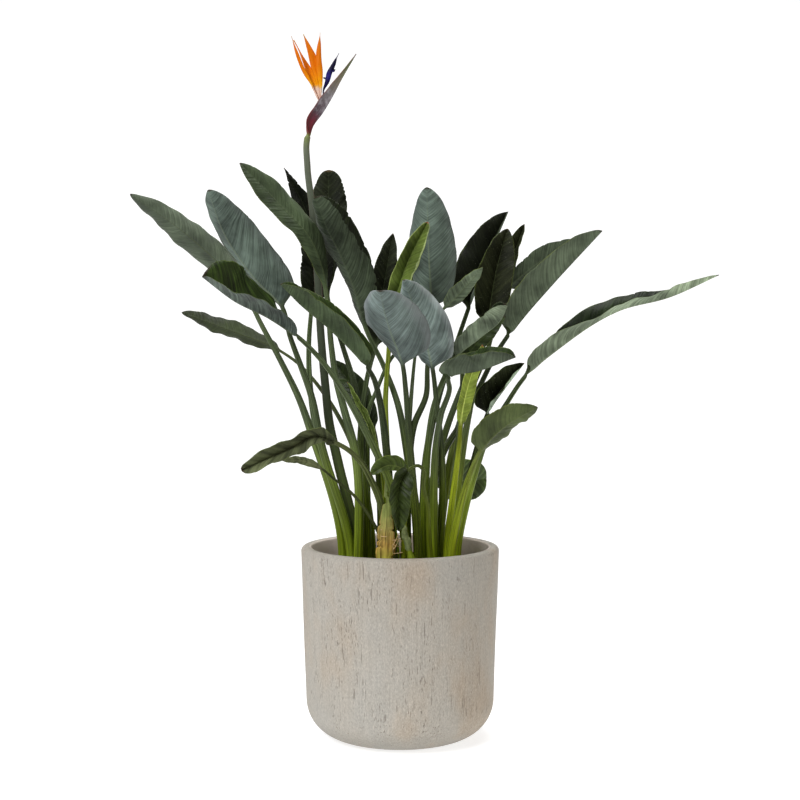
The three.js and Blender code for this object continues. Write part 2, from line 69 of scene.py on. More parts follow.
# Points of a closed surface's row, each with its place, reach and lot.
Row = list[tuple[Vector, Point, Point, Point]]

MATHS = "ShaderNodeMath"
MIX = "ShaderNodeMix"
SPAN = "ShaderNodeMapRange"
NOISE = "ShaderNodeTexNoise"
LANE = "ShaderNodeCombineXYZ"
VECTORS = "ShaderNodeVectorMath"
RAMP = "ShaderNodeValToRGB"
DRAW = "FunctionNodeRandomValue"
FULL_TURN = 6.28
WHITE: Colour = (1.0, 1.0, 1.0, 1.0)


class Face(Enum):
    """Which face of a blade its front row of points belongs to."""

    UPPER = 0.0
    UNDER = 1.0


class Build(Enum):
    """How stout a stalk is: its radius at the soil and at the blade's base, in millimetres."""

    FLOWERING = (10.4, 6.2)
    STOUT = (10.0, 5.2)
    USUAL = (9.4, 4.4)
    YOUNG = (8.0, 4.4)
    THIN = (5.8, 3.0)
    WITHERED = (4.2, 2.2)


def linear(colour: str) -> Colour:
    """Turns an sRGB hex colour to linear.

    Args:
        colour: six hex digits after a hash sign.

    Returns:
        Red, green, blue and alpha, linear.
    """
    channels = []
    for start in (1, 3, 5):
        value = int(colour[start : start + 2], 16) / 255
        channels.append(value / 12.92 if value <= 0.04045 else ((value + 0.055) / 1.055) ** 2.4)
    return (*channels, 1.0)


def feed(tree: Tree, socket: Socket, value: object) -> None:
    """Sets an input or links it.

    Args:
        tree: the node tree.
        socket: the input.
        value: a plain value, a socket, a node for its first output in use, or None to leave the input.
    """
    if isinstance(value, Node):
        value = next(output for output in value.outputs if output.enabled)
    if isinstance(value, Socket):
        tree.links.new(value, socket)
    elif value is not None:
        socket.default_value = value


def add(tree: Tree, kind: str, *inputs: object, named: dict | None = None, **settings: object) -> Node:
    """Adds a node, sets its properties, and sets or links its inputs.

    Args:
        tree: the node tree.
        kind: the node's type name.
        inputs: for its inputs in use, in their order: a plain value, a node, a socket, or None for none.
        named: the same, by input name.
        settings: properties by name; "stops" fills a colour ramp.

    Returns:
        The new node.
    """
    node = tree.nodes.new(kind)
    for name, value in settings.items():
        if name != "stops":
            setattr(node, name, value)
            continue
        elements = node.color_ramp.elements
        while len(elements) < len(value):
            elements.new(0.5)
        for element, (position, colour) in zip(elements, value):
            element.position, element.color = position, colour
    pairs = list(zip([socket for socket in node.inputs if socket.enabled], inputs))
    pairs += [(node.inputs[name], value) for name, value in (named or {}).items()]
    for socket, value in pairs:
        feed(tree, socket, value)
    return node


class Recipe:
    """A material in the making: its node tree, its shader, and the steps that finishes share."""

    def __init__(self, name: str) -> None:
        """Starts a material with nothing but its Principled shader and output.

        Args:
            name: the finish's name.
        """
        self.material = bpy.data.materials.new(name)
        self.material.use_nodes = True
        self.tree = self.material.node_tree
        self.tree.nodes.clear()
        self.shader = add(self.tree, "ShaderNodeBsdfPrincipled")
        add(self.tree, "ShaderNodeOutputMaterial", self.shader)
        self.place = add(self.tree, "ShaderNodeTexCoord").outputs["Object"]

    def parts(self, name: str) -> list[Socket]:
        """The three parts of a vector attribute."""
        vector = add(self.tree, "ShaderNodeAttribute", attribute_name=name).outputs["Vector"]
        return list(add(self.tree, "ShaderNodeSeparateXYZ", vector).outputs)

    def grains(self, x: float, y: float, z: float, detail: float = 2.0, roughness: float = 0.5) -> Node:
        """A noise in the object's coordinates, by its grains' size.

        Args:
            x: size in millimetres from left to right.
            y: size from front to back.
            z: size upwards.
            detail: how many finer layers it has.
            roughness: how strong these are.

        Returns:
            The noise, 0 to 1 and mostly near 0.5.
        """
        scaled = add(self.tree, "ShaderNodeMapping", self.place, None, None, (1000 / x, 1000 / y, 1000 / z))
        return add(self.tree, NOISE, scaled, 1.0, detail, roughness)

    def tone(self, colour: object, pattern: object, low: Pair, high: Pair) -> Node:
        """Darkens and lightens a colour by a pattern.

        Args:
            colour: what is toned.
            pattern: what drives it.
            low: pattern value, and the factor there.
            high: pattern value, and the factor there.

        Returns:
            The toned colour.
        """
        factor = add(self.tree, SPAN, pattern, low[0], high[0], low[1], high[1])
        return add(self.tree, MIX, 1.0, colour, factor, data_type="RGBA", blend_type="MULTIPLY")

    def cover(
        self, colour: object, over: str, pattern: object, low: float, high: float, share: float = 1.0
    ) -> Node:
        """Lays one colour over another where a pattern rises.

        Args:
            colour: what is covered.
            over: the hex colour laid over it.
            pattern: what drives it.
            low: pattern value where none is laid.
            high: pattern value where the full share is laid.
            share: how much of it shows there.

        Returns:
            The mixed colour.
        """
        amount = add(self.tree, SPAN, pattern, low, high, 0.0, share)
        return add(self.tree, MIX, amount, colour, linear(over), data_type="RGBA")

    def finish(self, height: object, distance: float, strength: float, **inputs: object) -> Material:
        """Gives the shader its relief and its inputs.

        Args:
            height: the relief's pattern.
            distance: its height in millimetres.
            strength: how much of it shows.
            inputs: shader inputs by name, with an underscore for a space.

        Returns:
            The finished material.
        """
        relief = {"Strength": strength, "Distance": distance * MM, "Height": height}
        bump = add(self.tree, "ShaderNodeBump", named=relief)
        for name, value in {"Normal": bump, **inputs}.items():
            feed(self.tree, self.shader.inputs[name.replace("_", " ")], value)
        return self.material


@dataclass(frozen=True)
class LeafFinish:
    """A living leaf, with its stalk.

    The eye sees a waxy deep green above and, beneath, a paler green dulled by a grey bloom. Side
    veins leave the midrib every 2 mm or so and bend towards the tip, and the blade is corrugated
    along them about every 7 mm. The midrib is paler, the margin dries to a thin line, and where the
    margin has turned over the other face shows. The stalk is streaked lengthwise and turns yellower
    where it comes out of the soil.
    """

    name: str
    under: str
    upper: str
    rib: str = "#8d9a78"
    stalk: str = "#4c583a"
    foot: str = "#72840e"
    edge: str = "#5d6a34"
    dried: str = "#3a2f1e"
    # Factors at the blade's base and tip: painted shade low in the clump, painted light out at the tip.
    base_painted_shade: float = 0.92
    tip_painted_light: float = 1.08
    rough_upper: float = 0.38
    rough_under: float = 0.55
    gloss: float = 0.22
    # How strong the folds' painted shade and light and the veins' lines are.
    folded: float = 1.0
    # Share of the pale band near the margin: partly grey bloom, partly painted highlight on the rolled
    # margin.
    bloom_and_highlight_share: float = 0.0
    dust: str = "#9aa58c"
    bloom: str = "#959a9c"
    yellowing: Colour = (1.35, 1.12, 0.38, 1.0)  # factors, not a colour
    veins_per_mm: float = 0.32
    folds_per_mm: float = 0.14
    rib_half_width: float = 2.6
    rib_thinning: float = 2.0
    slot: str = "leaf"

    def make(self) -> Material:
        """Builds the finish.

        Returns:
            The material. It reads the leaf's own attributes: place (across -1 to 1, along the
            blade 0 to 1 and below 0 on the stalk, face), reach (millimetres across and along,
            and a number for the leaf) and lot (how far inside a turned margin, a light factor
            that is partly the leaf's own lightness and partly painted light and shade, yellowness).
        """
        recipe = Recipe(self.name)
        tree = recipe.tree
        across, along, face = recipe.parts("place")
        reach_across, reach_along, number = recipe.parts("reach")
        turned, light, yellow = recipe.parts("lot")
        out = add(tree, MATHS, reach_across, operation="ABSOLUTE")
        # A vein runs out and up from the midrib, so it starts at reach_along less a share of out.
        slope = add(tree, MATHS, out, 0.008, 0.6, operation="MULTIPLY_ADD")
        lag = add(tree, MATHS, out, slope, operation="MULTIPLY")
        start = add(tree, MATHS, reach_along, lag, operation="SUBTRACT")
        drift = add(tree, MATHS, out, 0.018, operation="MULTIPLY")
        # Veins come out about 3 mm apart (drawn coarser than they are, so that the picture shows
        # them), and folds about 7 mm apart.
        lanes = [
            add(tree, LANE, add(tree, MATHS, start, scale, operation="MULTIPLY"), drift, number)
            for scale in (self.veins_per_mm, self.folds_per_mm)
        ]
        veins = add(tree, NOISE, lanes[0], 1.0, 3.0, 0.6)
        folds = add(tree, NOISE, lanes[1], 1.0, 1.5, 0.5)
        clouds = recipe.grains(60, 60, 60, 3.0, 0.55)
        dust = recipe.grains(2.6, 2.6, 2.6)
        # A turned margin shows the other face, with an uneven edge.
        torn = add(tree, MATHS, recipe.grains(16, 16, 16, 3.0), 0.3, turned, operation="MULTIPLY_ADD")
        flap = add(tree, SPAN, torn, 0.135, 0.165)
        shown = add(tree, MATHS, add(tree, MATHS, face, flap, operation="SUBTRACT"), operation="ABSOLUTE")
        fold = self.folded
        # The folds' dark and light bands are painted shade and light of the corrugation; the veins' lines are
        # partly their own paler colour and partly painted highlight on the raised veins.
        under = recipe.tone(linear(self.under), folds, (0.36, 1 - 0.16 * fold), (0.64, 1 + 0.2 * fold))
        under = recipe.tone(under, veins, (0.34, 1 - 0.34 * fold), (0.64, 1 + 0.36 * fold))
        upper = recipe.tone(linear(self.upper), folds, (0.36, 1 - 0.34 * fold), (0.66, 1 + 0.4 * fold))
        upper = recipe.tone(upper, veins, (0.34, 1 - 0.18 * fold), (0.68, 1 + 0.2 * fold))
        blade = add(tree, MIX, shown, upper, under, data_type="RGBA")
        blade = recipe.tone(blade, clouds, (0.34, 0.56), (0.66, 1.46))
        # Painted shade towards the blade's base, deep in the clump, and painted light towards its tip.
        blade = recipe.tone(blade, along, (0.0, self.base_painted_shade), (1.0, self.tip_painted_light))
        blade = recipe.cover(blade, self.dust, dust, 0.68, 0.76, 0.18)
        # Near the margin a paler band: partly the grey bloom, partly a painted highlight on the rolled
        # margin.
        far = add(tree, MATHS, across, operation="ABSOLUTE")
        bloom_and_highlight_mask = add(tree, MATHS, clouds, 0.35, far, operation="MULTIPLY_ADD")
        blade = recipe.cover(blade, self.bloom, bloom_and_highlight_mask, 0.84, 1.16, self.bloom_and_highlight_share)
        # The midrib: a pale line 5 mm wide at the base that thins towards the tip.
        half = add(tree, MATHS, along, -self.rib_thinning, self.rib_half_width, operation="MULTIPLY_ADD")
        inside = add(tree, MATHS, half, out, operation="SUBTRACT")
        blade = recipe.cover(blade, self.rib, inside, 0.0, 1.0, 0.4)
        # The margin's thin line comes and goes, and the tip is dead and brown.
        broken = add(tree, MATHS, recipe.grains(40, 40, 40), 0.12, far, operation="MULTIPLY_ADD")
        blade = recipe.cover(blade, self.edge, broken, 1.01, 1.06, 0.6)
        worn = add(tree, MATHS, clouds, 0.03, along, operation="MULTIPLY_ADD")
        blade = recipe.cover(blade, self.dried, worn, 0.996, 1.008, 0.85)
        # A factor on the blade's colour: partly the leaf's own lightness, partly painted light and shade for
        # how lit the leaf stands.
        blade = add(tree, MIX, 1.0, blade, light, data_type="RGBA", blend_type="MULTIPLY")
        # The stalk, each its own shade, with streaks a few millimetres wide and some 80 mm long.
        height = add(tree, "ShaderNodeSeparateXYZ", recipe.place).outputs[2]
        low = add(tree, MATHS, recipe.grains(110, 110, 110, 1.0), 0.16, height, operation="MULTIPLY_ADD")
        foot = add(tree, SPAN, low, 0.44, 0.72, 1.0, 0.0)
        stalk = add(tree, MIX, foot, linear(self.stalk), linear(self.foot), data_type="RGBA")
        grain_lane = add(
            tree,
            LANE,
            add(tree, MATHS, across, 5.0, operation="MULTIPLY"),
            add(tree, MATHS, reach_along, 0.012, operation="MULTIPLY"),
            add(tree, MATHS, number, face, operation="ADD"),
        )
        grain = add(tree, NOISE, grain_lane, 1.0, 3.0, 0.6)
        stalk = recipe.tone(stalk, grain, (0.36, 0.55), (0.64, 1.45))
        shade = add(tree, "ShaderNodeTexWhiteNoise", number, noise_dimensions="1D")
        stalk = recipe.tone(stalk, shade, (0.0, 0.4), (1.0, 1.5))
        on_blade = add(tree, SPAN, along, -0.02, 0.07)
        colour = add(tree, MIX, on_blade, stalk, blade, data_type="RGBA")
        yellowed = add(tree, MIX, 1.0, colour, self.yellowing, data_type="RGBA", blend_type="MULTIPLY")
        colour = add(tree, MIX, yellow, colour, yellowed, data_type="RGBA")
        rough = add(tree, SPAN, shown, 0.0, 1.0, self.rough_upper, self.rough_under)
        rough = add(tree, MATHS, rough, add(tree, SPAN, clouds, 0.3, 0.7, -0.07, 0.09), operation="ADD")
        relief = add(tree, MATHS, folds, 4.0, veins, operation="MULTIPLY_ADD")
        relief = add(tree, MATHS, relief, on_blade, operation="MULTIPLY")
        for pattern, share in ((flap, 1.2), (dust, 0.2), (grain, 0.6)):
            relief = add(tree, MATHS, pattern, share, relief, operation="MULTIPLY_ADD")
        return recipe.finish(
            relief, 0.9, 0.7, Base_Color=colour, Roughness=rough, IOR=1.4, Specular_IOR_Level=self.gloss
        )


SAGE = LeafFinish("leaf_grey_bloom", under="#66756a", upper="#2a3a16", edge="#434d33", folded=0.8, bloom_and_highlight_share=0.2)
SILVER = LeafFinish(
    "leaf_silver_bloom", under="#66736f", upper="#26331a", rib="#7c8a6c", edge="#868e8c", bloom_and_highlight_share=0.6
)
OLIVE = LeafFinish(
    "leaf_olive_bloom", under="#69765f", upper="#31421a", rib="#7c8962", edge="#7d8a3c", folded=0.7
)
MOSS = LeafFinish(
    "leaf_moss_green", under="#47553a", upper="#2b3a14", rib="#66744e", edge="#6c7a32", folded=0.55
)
DUSK = LeafFinish("leaf_dusky_green", under="#47523f", upper="#1b240e", rib="#626e52", edge="#3c4426")
FOLDED = LeafFinish(
    "leaf_folded_green", under="#68756a", upper="#334419", rib="#7c8a58", edge="#6f8428", folded=1.5,
    slot="leaf_dark",
)
PALE = LeafFinish(
    "leaf_pale_bloom", under="#98a88c", upper="#1c2810", rib="#a9b892", edge="#8f9c6e", base_painted_shade=0.4,
    tip_painted_light=1.6, gloss=0.12,
)
# Its upper face is the leaf's dark green with painted shade, for leaves deep in the clump.
SHADED_DEEP_GREEN = LeafFinish(
    "leaf_deep_green_painted_shade", under="#5a6656", upper="#12150b", rib="#2f3822", edge="#3c4620", rough_upper=0.5,
    gloss=0.08, slot="leaf_dark",
)
SHADE = LeafFinish(
    "leaf_shade_green", under="#4a583a", upper="#323f1e", rib="#56643a", edge="#5c6c2a", slot="leaf_dark"
)
FRESH = LeafFinish(
    "leaf_fresh_green", under="#808c5c", upper="#4e5c28", rib="#a3b070", stalk="#76842c", foot="#869a1e",
    edge="#98a65c", dried="#7a4a3a", folded=0.5, slot="leaf_young",
)
WITHERED = LeafFinish(
    "leaf_withered", under="#5c5a44", upper="#434830", rib="#6a6a4c", stalk="#4c5232", foot="#4a5424",
    rough_upper=0.7, slot="leaf_dark",
)


@dataclass(frozen=True)
class FibreClay:
    """Cast fibre-clay: a matt warm grey, stippled, with upright tool scores and pin-holes from the mould."""

    name: str = "fibre_clay_cast"
    body: str = "#b2aca1"
    warm: str = "#b2a594"
    cool: str = "#b0aca3"
    pit: str = "#6a6156"
    grit: str = "#c9c2b4"
    # The inner wall above the soil lies in shade; this paler colour is painted light on it.
    painted_light_inner: str = "#e6d6cc"
    painted_light_radius: Pair = (0.18, 0.184)  # metres: within it the inner wall gets painted light, beyond it not
    painted_light_height: Pair = (0.3, 0.31)  # metres: it starts below the soil's top and goes up from there
    painted_shade_height: float = 0.05  # metres: below it the foot gets painted shade, darkest at the bottom

    def make(self) -> Material:
        """Builds the finish.

        Returns:
            The material, which reads Object coordinates.
        """
        recipe = Recipe(self.name)
        tree = recipe.tree
        clouds = recipe.grains(110, 110, 220, 3.0, 0.55)
        stops = ((0.34, linear(self.cool)), (0.52, linear(self.body)), (0.7, linear(self.warm)))
        colour = add(tree, RAMP, clouds, stops=stops)
        stipple = recipe.grains(2.3, 2.3, 5.0, 3.0, 0.6)
        colour = recipe.tone(colour, stipple, (0.36, 0.86), (0.64, 1.08))
        # Fine upright strokes 3 to 4 mm wide, from the trowel.
        colour = recipe.tone(colour, recipe.grains(3.6, 3.6, 150, 3.0, 0.6), (0.34, 0.94), (0.66, 1.05))
        colour = recipe.cover(colour, self.grit, stipple, 0.62, 0.7, 0.5)
        # Dashes 1 to 2 mm wide and some 12 mm long, in loose groups.
        dashes = add(tree, SPAN, recipe.grains(1.8, 1.8, 14, 1.5), 0.65, 0.69)
        groups = add(tree, SPAN, recipe.grains(33, 33, 95, 2.0, 0.6), 0.45, 0.58)
        dash = add(tree, MATHS, dashes, groups, operation="MULTIPLY")
        # Long scores, 1 to 2 mm wide and 60 to 150 mm long, few and broken.
        lines = add(tree, SPAN, recipe.grains(3.0, 3.0, 250, 1.0), 0.7, 0.735, 0.0, 0.8)
        breaks = add(tree, SPAN, recipe.grains(80, 80, 17), 0.4, 0.52)
        line = add(tree, MATHS, lines, breaks, operation="MULTIPLY")
        marks = add(tree, MATHS, dash, line, operation="MAXIMUM")
        colour = recipe.cover(colour, self.pit, marks, 0.0, 1.0, 0.72)
        # Inside, above the soil, the wall gets a paler colour: painted light on the shaded inner wall.
        # Towards the foot the colour darkens: painted shade.
        x, y, z = add(tree, "ShaderNodeSeparateXYZ", recipe.place).outputs
        radius = add(tree, VECTORS, add(tree, LANE, x, y), operation="LENGTH").outputs["Value"]
        within = add(tree, SPAN, radius, *self.painted_light_radius, 1.0, 0.0)
        inside = add(tree, MATHS, within, add(tree, SPAN, z, *self.painted_light_height), operation="MULTIPLY")
        colour = recipe.cover(colour, self.painted_light_inner, inside, 0.0, 1.0, 0.85)
        # Painted shade on the foot's rounding, darkest at the bottom.
        colour = recipe.tone(colour, z, (0.0, 0.8), (self.painted_shade_height, 1.0))
        relief = add(tree, MATHS, marks, -2.4, stipple, operation="MULTIPLY_ADD")
        return recipe.finish(relief, 0.8, 0.7, Base_Color=colour, Roughness=0.9, IOR=1.45)


@dataclass(frozen=True)
class Grit:
    """What lies in the pot: moist near-black peat, paler bark or chalky perlite, all matt and crumbling."""

    name: str
    dark: str
    pale: str
    grain: float = 4.0

    def make(self) -> Material:
        """Builds the finish.

        Returns:
            The material, which reads Object coordinates.
        """
        recipe = Recipe(self.name)
        crumbs = recipe.grains(self.grain, self.grain, self.grain, 5.0)
        stops = ((0.36, linear(self.dark)), (0.7, linear(self.pale)))
        colour = add(recipe.tree, RAMP, crumbs, stops=stops)
        return recipe.finish(crumbs, 2.0, 0.9, Base_Color=colour, Roughness=0.95)


PEAT = Grit("potting_soil", "#15100c", "#3a2c20")
BARK = Grit("potting_soil_bark", "#1c140e", "#5a4430")
PERLITE = Grit("perlite_grains", "#9c9686", "#c9c4b6", 1.5)


@dataclass(frozen=True)
class PetalFinish:
    """Flower and sheath skin: satin, coloured along its length, with fine streaks and a darker rim."""

    name: str
    stops: tuple[tuple[float, str], ...]
    streak: str
    rim: str
    rim_share: float = 0.5
    roughness: float = 0.5
    streak_share: float = 0.45
    across_scale: float = 6.0
    gloss: float = 0.1
    bloom: float = 0.0
    powder: str = "#bdb8be"
    slot: str = "sepals"

    def make(self) -> Material:
        """Builds the finish.

        Returns:
            The material, which reads the petal's place attribute.
        """
        recipe = Recipe(self.name)
        tree = recipe.tree
        across, along, face = recipe.parts("place")
        drift = add(tree, MATHS, recipe.grains(7, 7, 7), 0.12, -0.06, operation="MULTIPLY_ADD")
        # The ramp holds 0 to 1, and a stalk's shares run from -1 to 0, so both are halved.
        drifted = add(tree, MATHS, along, drift, operation="ADD")
        halved = add(tree, MATHS, drifted, 0.5, 0.5, operation="MULTIPLY_ADD")
        stops = [(0.5 + position / 2, linear(value)) for position, value in self.stops]
        colour = add(tree, RAMP, halved, stops=stops)
        lane = add(
            tree,
            LANE,
            add(tree, MATHS, across, self.across_scale, operation="MULTIPLY"),
            add(tree, MATHS, along, 2.0, operation="MULTIPLY"),
            face,
        )
        lines = add(tree, NOISE, lane, 1.4, 4.0)
        colour = recipe.cover(colour, self.streak, lines, 0.42, 0.66, self.streak_share)
        # A pale bloom on the bract's middle, rubbed off in patches.
        begins, ends = add(tree, SPAN, along, 0.12, 0.42), add(tree, SPAN, along, 0.62, 0.86, 1.0, 0.0)
        bloomed = add(tree, MATHS, begins, ends, operation="MULTIPLY")
        rubbed = add(tree, MATHS, recipe.grains(6, 6, 12, 3.0, 0.6), bloomed, operation="MULTIPLY")
        colour = recipe.cover(colour, self.powder, rubbed, 0.42, 0.66, self.bloom)
        far = add(tree, MATHS, across, operation="ABSOLUTE")
        colour = recipe.cover(colour, self.rim, far, 0.8, 1.0, self.rim_share)
        return recipe.finish(
            lines, 0.5, 0.4, Base_Color=colour, Roughness=self.roughness, Specular_IOR_Level=self.gloss
        )


ORANGE = PetalFinish(
    "sepal_orange",
    ((-1.0, "#e6d0bc"), (0.41, "#f0dcc8"), (0.46, "#f0c470"), (0.5, "#fcb408"), (0.6, "#f49800"),
     (0.72, "#e67a00"), (0.93, "#dc7606"), (1.0, "#b09a5c")),
    streak="#c04c00", rim="#a84400", rim_share=0.7, streak_share=0.6, across_scale=10.0,
)
BLUE = PetalFinish(
    "petal_deep_blue",
    ((-1.0, "#16124a"), (0.4, "#16124a"), (0.52, "#2a2480"), (0.66, "#0f0b30"), (0.84, "#120e2e"),
     (0.93, "#8a8a98"), (1.0, "#b4b4ba")),
    streak="#08061e", rim="#0c0928", slot="tongue",
)
# Along the stalk the colour darkens where it runs among the leaves: painted shade. Above them the stalk is
# its own paler grey-green.
BRACT = PetalFinish(
    "flower_stalk_and_bract",
    ((-1.0, "#5c6e2c"), (-0.72, "#3f4a30"), (-0.3, "#555e4e"), (-0.06, "#757d68"), (0.05, "#86944c"),
     (0.11, "#7a2c30"), (0.28, "#7c3040"), (0.4, "#66525e"), (0.6, "#8d878a"), (0.78, "#837a68"),
     (0.92, "#6a7450"), (1.0, "#94948e")),
    streak="#44423c", rim="#8e4a38", roughness=0.55, streak_share=0.6, across_scale=10.0, bloom=0.55,
    slot="flower_stem",
)
DRY_SHEATH = PetalFinish(
    "leaf_base_dried",
    ((-1.0, "#9a9a34"), (0.0, "#a4a43a"), (0.14, "#bcb44c"), (0.34, "#c8a456"), (0.52, "#b0a860"),
     (0.68, "#8f9a54"), (1.0, "#64784a")),
    streak="#30200e", rim="#b07a40", roughness=0.8, streak_share=0.75, across_scale=7.0, slot="dried_sheath",
)
FIBRE = PetalFinish(
    "torn_leaf_fibre", ((-1.0, "#dcc090"), (1.0, "#dcc090")), streak="#a87a48", rim="#dcc090",
    slot="dried_sheath",
)


def smooth_step(value: float) -> float:
    """Eases a value from 0 to 1, held outside that range."""
    value = min(max(value, 0.0), 1.0)
    return value * value * (3 - 2 * value)


def along_list(values: list[float], share: float) -> float:
    """Reads a list of evenly placed values.

    Args:
        values: the values.
        share: share of the list's length.

    Returns:
        The value there.
    """
    if len(values) == 1:
        return values[0]
    place = min(max(share, 0.0), 1.0) * (len(values) - 1)
    index = min(int(place), len(values) - 2)
    return values[index] + (values[index + 1] - values[index]) * (place - index)


def fullness(shape: Pair, share: float) -> float:
    """How wide a blade is along its length.

    Args:
        shape: how fast the outline fills at the base and at the tip.
        share: share of the blade's length.

    Returns:
        Share of its full width, one at its widest place.
    """
    base, tip = shape
    widest = base / (base + tip)
    return share**base * (1 - share) ** tip / (widest**base * (1 - widest) ** tip)


def sides(way: Vector) -> tuple[Vector, Vector]:
    """The two directions across a path.

    Args:
        way: the path's direction.

    Returns:
        To its left, seen from the front, and to its back.
    """
    left = way.cross(Vector((0, 1, 0))).normalized()
    back = -left.cross(way).normalized()
    return left, (-back if back.y < 0 else back)


class Path:
    """A smooth path through points that leaves the first one straight up."""

    def __init__(self, points: list[Point], upright: bool = True) -> None:
        """Fits the path.

        Args:
            points: what it passes through.
            upright: whether it starts straight up, or along its first stretch.
        """
        self.points = [Vector(point) for point in points]
        self.lengths = [(b - a).length for a, b in zip(self.points, self.points[1:])]
        self.tangents = [self.tangent(index) for index in range(len(points))]
        if not upright:
            self.tangents[0] = self.chord(0)

    def chord(self, index: int) -> Vector:
        """The direction of one stretch."""
        return (self.points[index + 1] - self.points[index]) / self.lengths[index]

    def tangent(self, index: int) -> Vector:
        """The direction at one point.

        Args:
            index: the point's number.

        Returns:
            The direction, upright at the first point.
        """
        last = len(self.points) - 1
        if index == 0:
            return Vector((0, 0, 1))
        if index == last:
            return self.chord(last - 1)
        before, after = self.lengths[index - 1], self.lengths[index]
        return (self.chord(index - 1) * after + self.chord(index) * before) / (before + after)

    def at(self, u: float) -> tuple[Vector, Vector]:
        """The place and direction at u, a whole number at each point.

        Args:
            u: where on the path.

        Returns:
            Place and unit direction.
        """
        index = min(int(u), len(self.points) - 2)
        t = u - index
        span = self.lengths[index]
        a, b = self.points[index], self.points[index + 1]
        m, n = self.tangents[index] * span, self.tangents[index + 1] * span
        place = (
            a * (2 * t**3 - 3 * t**2 + 1) + b * (3 * t**2 - 2 * t**3)
            + m * (t**3 - 2 * t**2 + t) + n * (t**3 - t**2)
        )
        way = (
            a * (6 * t**2 - 6 * t) + b * (6 * t - 6 * t**2)
            + m * (3 * t**2 - 4 * t + 1) + n * (3 * t**2 - 2 * t)
        )
        return place, way.normalized()


# Places of the points across half a blade, closer together at the midrib and at the margin.
HALF = (0.0, 0.035, 0.08, 0.15, 0.25, 0.37, 0.5, 0.63, 0.75, 0.86, 0.95, 1.0)
ACROSS = tuple(-value for value in reversed(HALF)) + HALF[1:]
# How far the arc of each face reaches to either side, so that the two faces leave a narrow edge.
RIM_ANGLE = math.radians(82)


@dataclass
class Skin:
    """A closed surface in the making: rows of points, each with its place, reach and lot attributes."""

    points: list[Vector] = field(default_factory=list)
    attributes: dict[str, list[Point]] = field(default_factory=lambda: {"place": [], "reach": [], "lot": []})

    def add_row(self, row: Row) -> None:
        """Adds one closed row.

        Args:
            row: its points, each with its place, reach and lot.
        """
        for point, *values in row:
            self.points.append(point)
            for stored, value in zip(self.attributes.values(), values):
                stored.append(value)

    def object(self, name: str, material: Material) -> Piece:
        """Joins the rows into one closed object.

        Args:
            name: the object's name.
            material: its finish.

        Returns:
            The object, with its attributes and finish.
        """
        width = 2 * len(ACROSS)
        rows = len(self.points) // width
        faces: list[tuple[int, ...]] = []
        for row in range(rows - 1):
            low, high = row * width, (row + 1) * width
            for column in range(width):
                following = (column + 1) % width
                faces.append((low + column, low + following, high + following, high + column))
        end = (rows - 1) * width
        for column in range(len(ACROSS) - 1):
            mirror = width - 1 - column
            faces.append((column, mirror, mirror - 1, column + 1))
            faces.append((end + column, end + column + 1, end + mirror - 1, end + mirror))
        piece = shell(name, self.points, faces)
        for label, values in self.attributes.items():
            attribute = piece.data.attributes.new(label, "FLOAT_VECTOR", "POINT")
            attribute.data.foreach_set("vector", [part for value in values for part in value])
        piece.data.materials.append(material)
        return piece


def shell(name: str, points: list[Vector], faces: list[tuple[int, ...]]) -> Piece:
    """Makes an object from points in millimetres, its faces turned outwards and smooth.

    Args:
        name: the object's name.
        points: the points.
        faces: the faces.

    Returns:
        The object, linked to the scene.
    """
    volume = 0.0
    for face in faces:
        a = points[face[0]]
        for b, c in zip(face[1:], face[2:]):
            volume += a.dot(points[b].cross(points[c]))
    if volume < 0:
        faces = [tuple(reversed(face)) for face in faces]
    mesh = bpy.data.meshes.new(name)
    mesh.from_pydata([point * MM for point in points], [], faces)
    mesh.polygons.foreach_set("use_smooth", [True] * len(mesh.polygons))
    mesh.update()
    return into_scene(name, mesh)


def into_scene(name: str, mesh: Mesh) -> Piece:
    """Links a mesh to the scene as an object at the origin.

    Args:
        name: the name of both.
        mesh: the mesh.

    Returns:
        The object.
    """
    mesh.name = name
    piece = bpy.data.objects.new(name, mesh)
    bpy.context.scene.collection.objects.link(piece)
    return piece


def dress(piece: Piece, slot: str, *nodes: str) -> Piece:
    """Ties a piece to the part: its body and the nodes it stands for.

    Args:
        piece: the piece.
        slot: the record's material slot; not used.
        nodes: the CAD nodes that it replaces.

    Returns:
        The same piece.
    """
    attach(piece, BODY)
    if nodes:
        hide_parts(*nodes)
    return piece


# Small forms that all leaves share, in millimetres unless they are called shares.
STALK_ROW = 9.0  # from one round of a stalk to the next
STALK_TAPER = 1 / 0.75  # how fast a stalk thins with its height
CHANNEL = 0.42  # depth of a stalk's channel, as a share of its radius
CHANNEL_WIDTH = 0.22  # half its width, as a share of the way round
OPENING = 0.075  # share of the blade in which the round stalk opens out flat
HALF_LEAN = 7.0  # from the midrib to where a half's own lean holds in full
LEAST_HALF = 0.7  # least width of a half, before its margin is worn
WORN_HALF = 0.5  # least width of a worn half
NICK = 3.0  # half the length of a nick in the margin
TATTERED = 1.5  # raggedness from which a margin has many nicks
NICKS = (5, 18)  # how many a whole and a tattered margin have
WAVE_PHASES = 8  # draws for a blade's waves, of which the first six are used
BLADE_SEED = 1000
PETAL_SEED = 500
PATTERN_STEP = 3.7  # keeps the patterns of one leaf apart from the next one's
SHEATH_NUMBER, FLOWER_NUMBER = 70, 90  # clear of the leaves' own numbers


@dataclass(frozen=True)
class Blade:
    """What stays the same all along one blade.

    Attributes:
        number: the leaf's number.
        neck: the stalk's radius at its base.
        length: its length.
        phases: its own wave phases.
        nicks: place, half and depth of each nick in its margin.
    """

    number: int
    neck: float
    length: float
    phases: list[float]
    nicks: list[tuple[float, int, float]]


